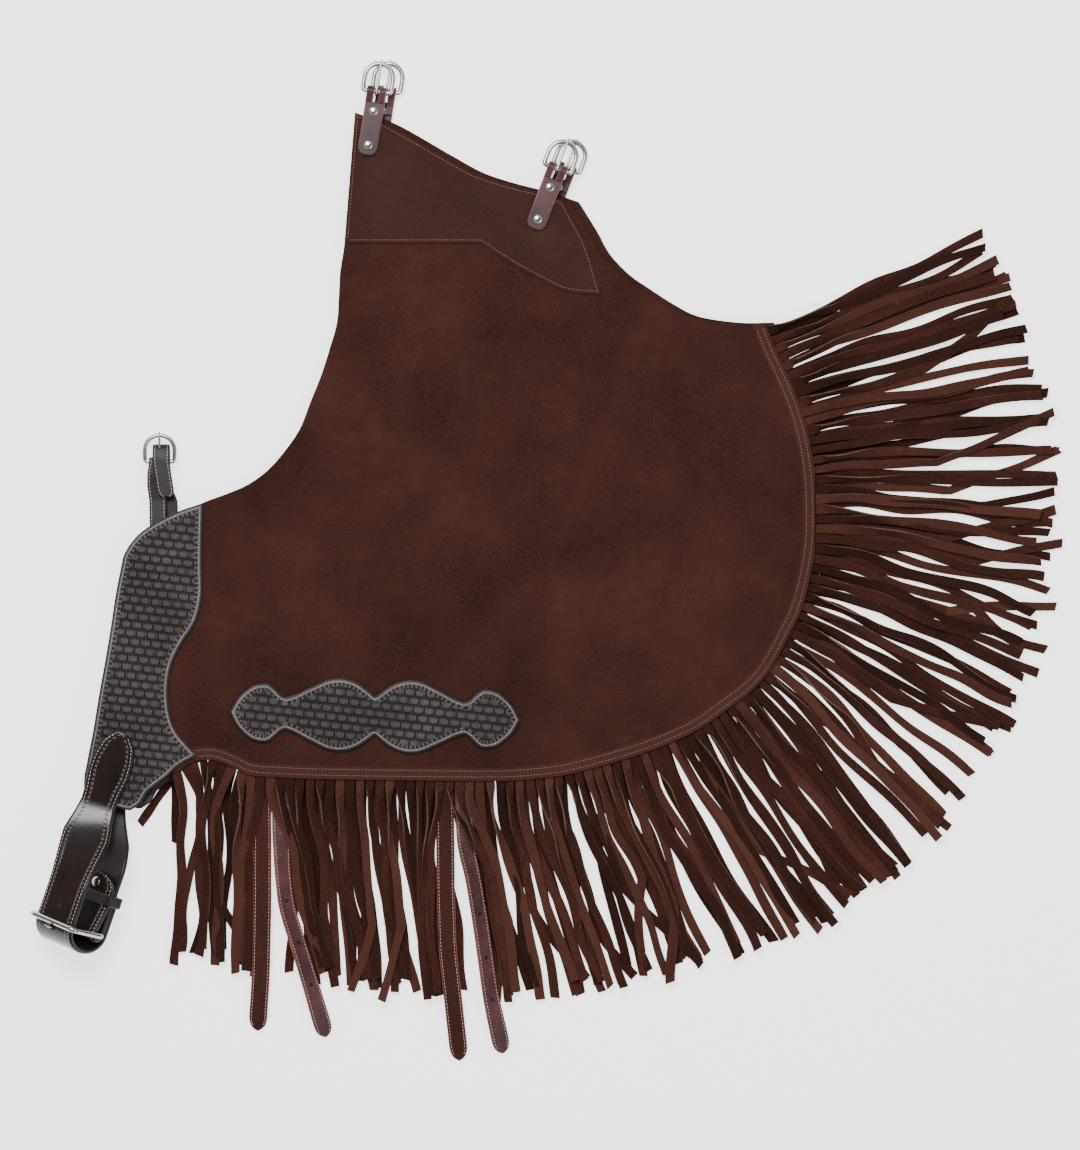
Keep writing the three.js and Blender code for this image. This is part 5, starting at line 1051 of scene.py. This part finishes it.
for name, leg in LEGS.items():
    for spot_name, (share, turn) in CHAPES.items():
        x, y = share[0] * PANEL_LENGTH, share[1] * PANEL_WIDTH
        tilt = np.arctan(leg["tilt"] * TOWER_LIFT / ((THIGH_RISE[1] - THIGH_RISE[0]) * PANEL_WIDTH))
        a = np.radians(turn)
        rx = np.array([[1, 0, 0], [0, np.cos(tilt), -np.sin(tilt)], [0, np.sin(tilt), np.cos(tilt)]])
        rz = np.array([[np.cos(a), -np.sin(a), 0], [np.sin(a), np.cos(a), 0], [0, 0, 1]])
        frame_turn = rx @ rz @ np.diag([leg["side"], 1, leg["side"]])
        seat = on_leg(leg, np.array(x), np.array(y), 0.0)
        world = lambda path, t=frame_turn, s=seat: s + path @ t.T / 1000
        flat = lambda v, t=frame_turn: v @ t.T
        frame_body = f"{name}_frame_{spot_name}"
        tongue_body = f"upper_prong_{spot_name}" if name == "upper" else frame_body
        chape_pieces = chape_strap(f"{name}_buckle_chape_{spot_name}", world, flat,
                                   [chape_face, chape_edge, chape_face])
        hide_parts(f"{name}_chape_{spot_name}")
        axis = flat(UP)
        head = CHAPE_FACE + CHAPE_THICKNESS + 0.02
        for node, above, burr in (("seat_rivet", -RIVET_BELOW, -GAP),
                                  ("loop_rivet", RIVET_ABOVE, CHAPE_FACE - CHAPE_THICKNESS - 2 * GAP)):
            rivet = dome_rivet(f"{name}_{node}_dome_{spot_name}", world(np.array([0.0, above, 0])), axis,
                               head, burr, steel)
            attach(rivet, "chaps")
            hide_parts(f"{name}_{node}_{spot_name}")
        shift = np.array([0, BAR_ABOVE, CHAPE_FACE])
        wire = tube(f"{name}_horseshoe_{spot_name}",
                    world(horseshoe(BUCKLE_SIZE, BUCKLE_SIZE, BAR_RADIUS) + shift),
                    BAR_RADIUS / 1000, axis, steel, closed=True)
        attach(wire, frame_body)
        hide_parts(f"{name}_buckle_{spot_name}")
        line = tongue_line(BAR_RADIUS, BUCKLE_SIZE - 0.7, BAR_RADIUS + GAP + 1.2)
        thin = np.interp(np.arange(len(line)), [0, 19, 30, 32], [1.0, 1.35, 1.0, 0.5]) / 1000
        prong = tube(f"{name}_prong_{spot_name}", world(line + shift), thin, flat(ACROSS), steel)
        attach(prong, tongue_body)
        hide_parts(f"{name}_tongue_{spot_name}")


# The belt at the back of the waist. Two lined harness-leather belts 44 mm wide, glossy near-black brown,
# each sewn on its yoke by a teardrop end, buckled together, so that the loop leans on its lower edge.
BELT_WIDTH, BELT_THICKNESS, BELT_ROOT, BELT_SEWN, BELT_FOLD = 44.0, 4.2, 174.0, 63.0, 17.0
TURNBACK, KEEPER_WIDTH, KEEPER_THICKNESS, KEEPER_BACK, BILLET_TAIL = 52.0, 9.5, 2.0, 31.0, 38.0
BELT_BAR, BELT_FRAME_WIDTH, BELT_FRAME_HEIGHT = 2.5, 58.0, 45.0
belt_turn, belt_tilt = np.radians(-108.9), np.radians(38.0)
N = np.array([np.cos(belt_turn), np.sin(belt_turn), 0])
SIDE = np.array([-N[1], N[0], 0])
PLY = BELT_THICKNESS + GAP
FAR_BAR = -(BELT_THICKNESS / 2 + GAP + BELT_BAR)
HEEL_BAR = FAR_BAR + BELT_FRAME_HEIGHT - 2 * BELT_BAR
HEEL_WRAP = BELT_BAR + GAP + BELT_THICKNESS / 2
BUCKLE_PLY = HEEL_BAR + HEEL_WRAP
RETURN_PLY, BACK_PLY = BUCKLE_PLY + PLY, BUCKLE_PLY - PLY
KEEPER_INNER, KEEPER_OUTER = BACK_PLY - BELT_THICKNESS / 2 - GAP, RETURN_PLY + BELT_THICKNESS / 2 + GAP
KEEPER_HALF = BELT_WIDTH / 2 + GAP


def across_at(tilt):
    """The direction across the belt at a tilt from level."""
    return np.cos(tilt) * SIDE + np.sin(tilt) * UP


def through_at(tilt):
    """The direction down through the belt's layers at a tilt from level."""
    return np.sin(tilt) * SIDE - np.cos(tilt) * UP


U, V = across_at(belt_tilt), through_at(belt_tilt)
belt_z = (KEEPER_OUTER + KEEPER_THICKNESS) * -V[2] + (KEEPER_HALF + KEEPER_THICKNESS) * U[2]
belt_at = np.array([YOKE_TIP[0] - 126.2, YOKE_TIP[1] - 365.1, belt_z])
TEARDROP = np.array([[0, 0.02], [0.03, 0.12], [0.09, 0.2], [0.27, 0.34], [0.57, 0.41], [0.86, 0.42],
                     [1.25, 0.364], [1.5, 0.352],
                     [1.82, 0.41], [2.16, 0.5], [4.5, 0.5]]) * BELT_WIDTH
harness_face = smooth_leather("glossy_harness_leather", "#0d0403", "#1e0e0b", "#33201b", 0.2, coat=0.12,
                              stamps=True)
harness_back = smooth_leather("harness_lining", "#120a09", "#201412", "#342623", 0.5)
harness_edge = smooth_leather("harness_edge_paint", "#0a0605", "#170d0b", "#34201d", 0.38)


def in_belt(u, v, n):
    """Points at u across, v through and n along the belt from the middle of the buckle's far side."""
    u, v, n = (np.asarray(value, float)[..., None] for value in (u, v, n))
    return belt_at + u * U + v * V + n * N


def belt_run(n, from_n, shift, sewn_height, v):
    """Middles and tilts between the sewn end, flat on its yoke, and the straight part at v: a cubic ease of
    both."""
    t = ease((n + BELT_ROOT - BELT_SEWN) / (from_n + BELT_ROOT - BELT_SEWN))[:, None]
    line = belt_at[:2] + n[:, None] * N[:2]
    straight = in_belt(0 * n, 0 * n + v, 0 * n)
    flat_xy = line + shift
    xy = flat_xy + (straight[:, :2] + n[:, None] * N[:2] - flat_xy) * t
    z = sewn_height(xy[:, 0], xy[:, 1])[:, None]
    z = z + (straight[:, 2:] - z) * t
    return np.hstack([xy, z]), t[:, 0] * belt_tilt


def belt_piece(name, path, across, up, half, node, part_faces):
    """One belt, with its stitches 2.6 mm inside both edges on its face."""
    reach = run_along(path)
    metres = (path - ORIGIN) / 1000
    piece = swept(name, metres, across, up, half, np.full(len(path), BELT_THICKNESS), part_faces,
                  radius=0.36, run_mm=reach)
    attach(piece, "chaps")
    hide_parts(node)
    edge_stitches(name, metres, across, up, half - 2.6, BELT_THICKNESS / 2, half > 7, beige_thread,
                  "harness_leather", pitch=3.2, width=0.75, height=0.3)


n = np.linspace(-BELT_ROOT, 0, 88)
path, tilt = belt_run(n, -KEEPER_BACK, np.zeros(2),
                      lambda x, y: inner_height(LEGS["upper"], x, y) + TOOLED_TO + 0.15 + BELT_THICKNESS / 2,
                      0.0)
half = np.interp(n + BELT_ROOT, TEARDROP[:, 0], TEARDROP[:, 1])
across = np.array([across_at(t) for t in tilt])
up = -np.array([through_at(t) for t in tilt])
angle = np.radians(np.linspace(0, 180, 31))[1:]
fold = in_belt(0 * angle, RETURN_PLY / 2 * (1 - np.cos(angle)), BELT_FOLD * np.sin(angle))
along = BELT_FOLD * np.cos(angle)[:, None] * N + RETURN_PLY / 2 * np.sin(angle)[:, None] * V
along = unit(along)
outward = np.cross(along, U)
outward *= np.sign(outward @ N + 1e-9)[:, None]
outward[-1] = V
outward[0] = -V if outward[0] @ V < 0 else outward[0]
back_n = np.linspace(-2, -BILLET_TAIL, 22)
tail = in_belt(0 * back_n, 0 * back_n + RETURN_PLY, back_n)
tail_half = BELT_WIDTH / 2 * np.interp(back_n + BILLET_TAIL, [0, 0.6, 2, 4, 7, 12],
                                       [0.25, 0.42, 0.62, 0.8, 0.94, 1])
belt_path = np.vstack([path, fold, tail])
belt_across = np.vstack([across, np.tile(U, (len(angle) + len(back_n), 1))])
belt_up = np.vstack([up, outward, np.tile(V, (len(back_n), 1))])
belt_half = np.concatenate([half, np.full(len(angle), BELT_WIDTH / 2), tail_half])
belt_piece("billet_belt", belt_path, belt_across, belt_up, belt_half, "upper_belt",
           [harness_face, harness_edge, harness_back])

path, tilt = belt_run(n, -TURNBACK - 3, np.array([8.0, 1.0]),
                      lambda x, y: inner_height(LEGS["lower"], x, y) - TOOLED_TO - 0.15 - BELT_THICKNESS / 2,
                      BUCKLE_PLY)
across = np.array([across_at(t) for t in tilt])
up = np.array([through_at(t) for t in tilt])
angle = np.radians(np.linspace(0, 180, 19))[1:]
around = np.cos(angle)[:, None] * V + np.sin(angle)[:, None] * N
wrap = in_belt(0 * angle, 0 * angle + HEEL_BAR, 0 * angle) + HEEL_WRAP * around
back_n = np.array([-4.0, -10, -16, -23.4, -30, -36, -40, -44, -46, -48, -50, -51.2, -52])
back_v = np.interp(-back_n, [0, 23.4, 60], [HEEL_BAR - HEEL_WRAP, BACK_PLY, BACK_PLY])
tail = in_belt(0 * back_n, back_v, back_n)
tail_half = BELT_WIDTH / 2 * np.interp(back_n + TURNBACK, [0, 0.8, 2, 4, 8, 12],
                                       [0.25, 0.45, 0.62, 0.8, 0.96, 1])
lower_path = np.vstack([path, wrap, tail])
lower_across = np.vstack([across, np.tile(U, (len(angle) + len(back_n), 1))])
lower_up = np.vstack([up, around, np.tile(-V, (len(back_n), 1))])
lower_half = np.concatenate([half, np.full(len(angle), BELT_WIDTH / 2), tail_half])
belt_piece("buckle_belt", lower_path, lower_across, lower_up, lower_half, "lower_belt",
           [harness_face, harness_edge, harness_back])
for hole_name, at_n in (("spare", -15.0), ("used", 4.6)):
    sink = RETURN_PLY / 2 * (1 - np.sqrt(1 - (max(at_n, 0) / BELT_FOLD) ** 2))
    dot = disc(f"billet_hole_{hole_name}",
               (in_belt(0, sink - BELT_THICKNESS / 2 - 0.1, at_n) - ORIGIN) / 1000, -V, 2.5, hole_dark)
    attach(dot, "chaps")

half_u, middle_v = BELT_FRAME_WIDTH / 2 - BELT_BAR, (FAR_BAR + HEEL_BAR) / 2
half_v, corner = HEEL_BAR - middle_v, 4.5
rim = []
for su, sv, first in ((1, 1, 0), (-1, 1, 90), (-1, -1, 180), (1, -1, 270)):
    arc = np.radians(np.linspace(first, first + 90, 7))
    rim.append(np.stack([su * (half_u - corner) + corner * np.cos(arc),
                         sv * (half_v - corner) + corner * np.sin(arc)], -1))
rim = np.vstack(rim + [rim[0][:1]])
rim = evenly(rim, 1.5)[:-1]
belt_frame = tube("belt_buckle_frame",
                  (in_belt(rim[:, 0], middle_v + rim[:, 1], 0 * rim[:, 0]) - ORIGIN) / 1000,
                  BELT_BAR / 1000, N, steel, closed=True)
prong_n = BELT_BAR + GAP + 1.8
turn = np.radians(np.linspace(-215, 8, 20))
loop_r = BELT_BAR + 1.6
loop = np.stack([-loop_r * np.sin(turn), loop_r * np.cos(turn)], -1)
straight = np.linspace(0, 1, 22)[1:,
                                 None] * (np.array([-(BELT_FRAME_HEIGHT + 1.5),
                                                    prong_n]) - loop[-1]) + loop[-1]
line = np.vstack([loop, straight])
thin = np.interp(np.arange(len(line)), [0, 19, 38, 40], [1.5, 1.9, 1.4, 0.7]) / 1000
belt_prong = tube("belt_buckle_prong",
                  (in_belt(0 * line[:, 0], HEEL_BAR + line[:, 0], line[:, 1]) - ORIGIN) / 1000, thin, U,
                  steel)
belt_dome = dome_rivet("belt_rivet_dome", (in_belt(0, 0, -43.0) - ORIGIN) / 1000, -V,
                       -(BACK_PLY - BELT_THICKNESS / 2 - 0.02),
                       -(BUCKLE_PLY + BELT_THICKNESS / 2 + 0.2), steel)
for piece, node in ((belt_frame, "belt_buckle"), (belt_prong, "belt_tongue"), (belt_dome, "belt_rivet")):
    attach(piece, "chaps")
    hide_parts(node)

ku, kv0, kv1, kr = KEEPER_HALF + 1.0, KEEPER_INNER - 1.0, KEEPER_OUTER + 1.0, 1.4
loop = []
for cu, cv, first in ((ku - kr, kv1 - kr, 0), (-ku + kr, kv1 - kr, 90), (-ku + kr, kv0 + kr, 180),
                      (ku - kr, kv0 + kr, 270)):
    arc = np.radians(np.linspace(first, first + 90, 5))
    loop.append(np.stack([cu + kr * np.cos(arc), cv + kr * np.sin(arc)], -1))
loop = evenly(np.vstack(loop + [loop[0][:1]]), 1.2)[:-1]
step = np.roll(loop, -1, 0) - np.roll(loop, 1, 0)
step = unit(step)
outward = step[:, 1:] * U - step[:, :1] * V
keeper = swept("belt_keeper_loop",
               (in_belt(loop[:, 0], loop[:, 1], 0 * loop[:, 0] - KEEPER_BACK) - ORIGIN) / 1000,
               np.tile(N, (len(loop), 1)), outward, np.full(len(loop), KEEPER_WIDTH / 2),
               np.full(len(loop), KEEPER_THICKNESS), [harness_edge, harness_edge, harness_back], closed=True)
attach(keeper, "chaps")
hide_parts("belt_keeper")


# The front strap. Two light harness-leather straps 15 mm wide, one turned round the bar of a small horseshoe
# buckle, the other folded up through it and back over the first.
FRONT_WIDTH, FRONT_THICKNESS, FRONT_BAR, FRONT_ROOT, FRONT_FOLD = 15.0, 2.0, 1.9, 73.0, 14.5
front_at = np.array([YOKE_TIP[0] - 38.3, YOKE_TIP[1] + 36.5, INSIDE_UPPER])
FRONT_WRAP = FRONT_BAR + GAP + FRONT_THICKNESS / 2
FRONT_OUTER = FRONT_WRAP + FRONT_THICKNESS + GAP
FRONT_SIDE, FRONT_EDGE = 1.5, 34.5


def front_height(leg, n, out):
    """The height of a strap's middle from the buckle's bar, out from the leg's inner face at n along the
    strap."""
    return float(inner_height(leg, front_at[0], front_at[1] + n)) + out - front_at[2]


def front_piece(name, keys, ups, node):
    """A strap through key points (x, n, z) from the buckle's bar; its up directions turn with them."""
    keys, ups = np.array(keys, float), np.array(ups, float)
    both = evenly(np.hstack([keys, ups * 0.001]), 1.2)
    path, up = both[:, :3] + front_at, both[:, 3:]
    up = unit(up)
    reach = run_along(path)
    half = np.full(len(path), FRONT_WIDTH / 2)
    half *= np.interp(reach[-1] - reach, [0, 1, 3, 6], [0.55, 0.75, 0.93, 1])
    metres = (path - ORIGIN) / 1000
    across = np.tile(ACROSS, (len(path), 1))
    piece = swept(name, metres, across, up, half, np.full(len(path), FRONT_THICKNESS),
                  [harness_back, harness_edge, harness_back])
    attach(piece, "chaps")
    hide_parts(node)
    edge_stitches(name, metres, across, up, half - 2.0, FRONT_THICKNESS / 2, slice(None), beige_thread,
                  "harness_leather", pitch=3.0, width=0.65, height=0.28)


edge_up = front_height(LEGS["upper"], -FRONT_EDGE, TOOLED_FROM - GAP - FRONT_THICKNESS / 2)
root_up = front_height(LEGS["upper"], -FRONT_ROOT, TOOLED_FROM - GAP - FRONT_THICKNESS / 2)
angle = np.radians(np.linspace(90, -90, 19))
keys = [(-1, -FRONT_ROOT, root_up), (-1.6, -FRONT_EDGE, edge_up),
        (-3.4, -0.6 * FRONT_EDGE, (edge_up + FRONT_WRAP) / 2),
        (-3.2, -0.15 * FRONT_ROOT, FRONT_WRAP)]
ups = [UP] * 4
keys += [(-FRONT_SIDE, FRONT_WRAP * np.cos(a), FRONT_WRAP * np.sin(a)) for a in angle]
ups += [(0, np.cos(a), np.sin(a)) for a in angle]
keys.append((-FRONT_SIDE, -15, -FRONT_WRAP))
ups.append(-UP)
front_piece("front_buckle_strap", keys, ups, "upper_front_strap")
edge_low = front_height(LEGS["lower"], -FRONT_EDGE, -TOOLED_FROM + GAP + FRONT_THICKNESS / 2)
root_low = front_height(LEGS["lower"], -FRONT_ROOT, -TOOLED_FROM + GAP + FRONT_THICKNESS / 2)
angle = np.radians(np.linspace(0, 180, 25))
keys = [(9, -FRONT_ROOT, root_low), (8, -FRONT_EDGE, edge_low),
        (FRONT_SIDE + 1, -0.6 * FRONT_EDGE, -FRONT_OUTER)]
ups = [-UP] * 3
keys += [(FRONT_SIDE, FRONT_FOLD * np.sin(a), -FRONT_OUTER * np.cos(a)) for a in angle]
turned = np.stack([0 * angle, FRONT_OUTER * np.sin(angle), -FRONT_FOLD * np.cos(angle)], -1)
ups += (turned / np.linalg.norm(turned, axis=1, keepdims=True)).tolist()
keys.append((FRONT_SIDE + 4.8, -31, FRONT_OUTER))
ups.append(UP)
front_piece("front_billet_strap", keys, ups, "lower_front_strap")
front_wire = tube("front_horseshoe", (horseshoe(30.0, 27.0, FRONT_BAR) + front_at - ORIGIN) / 1000,
                  FRONT_BAR / 1000, UP, steel, closed=True)
line = tongue_line(FRONT_BAR, 26.1, FRONT_BAR + GAP + 1.1)
thin = np.interp(np.arange(len(line)), [0, 19, 30, 32], [1.0, 1.25, 0.95, 0.5]) / 1000
front_prong = tube("front_prong", (line + front_at - ORIGIN) / 1000, thin, ACROSS, steel)
for piece, node in ((front_wire, "front_buckle"), (front_prong, "front_tongue")):
    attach(piece, "chaps")
    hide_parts(node)
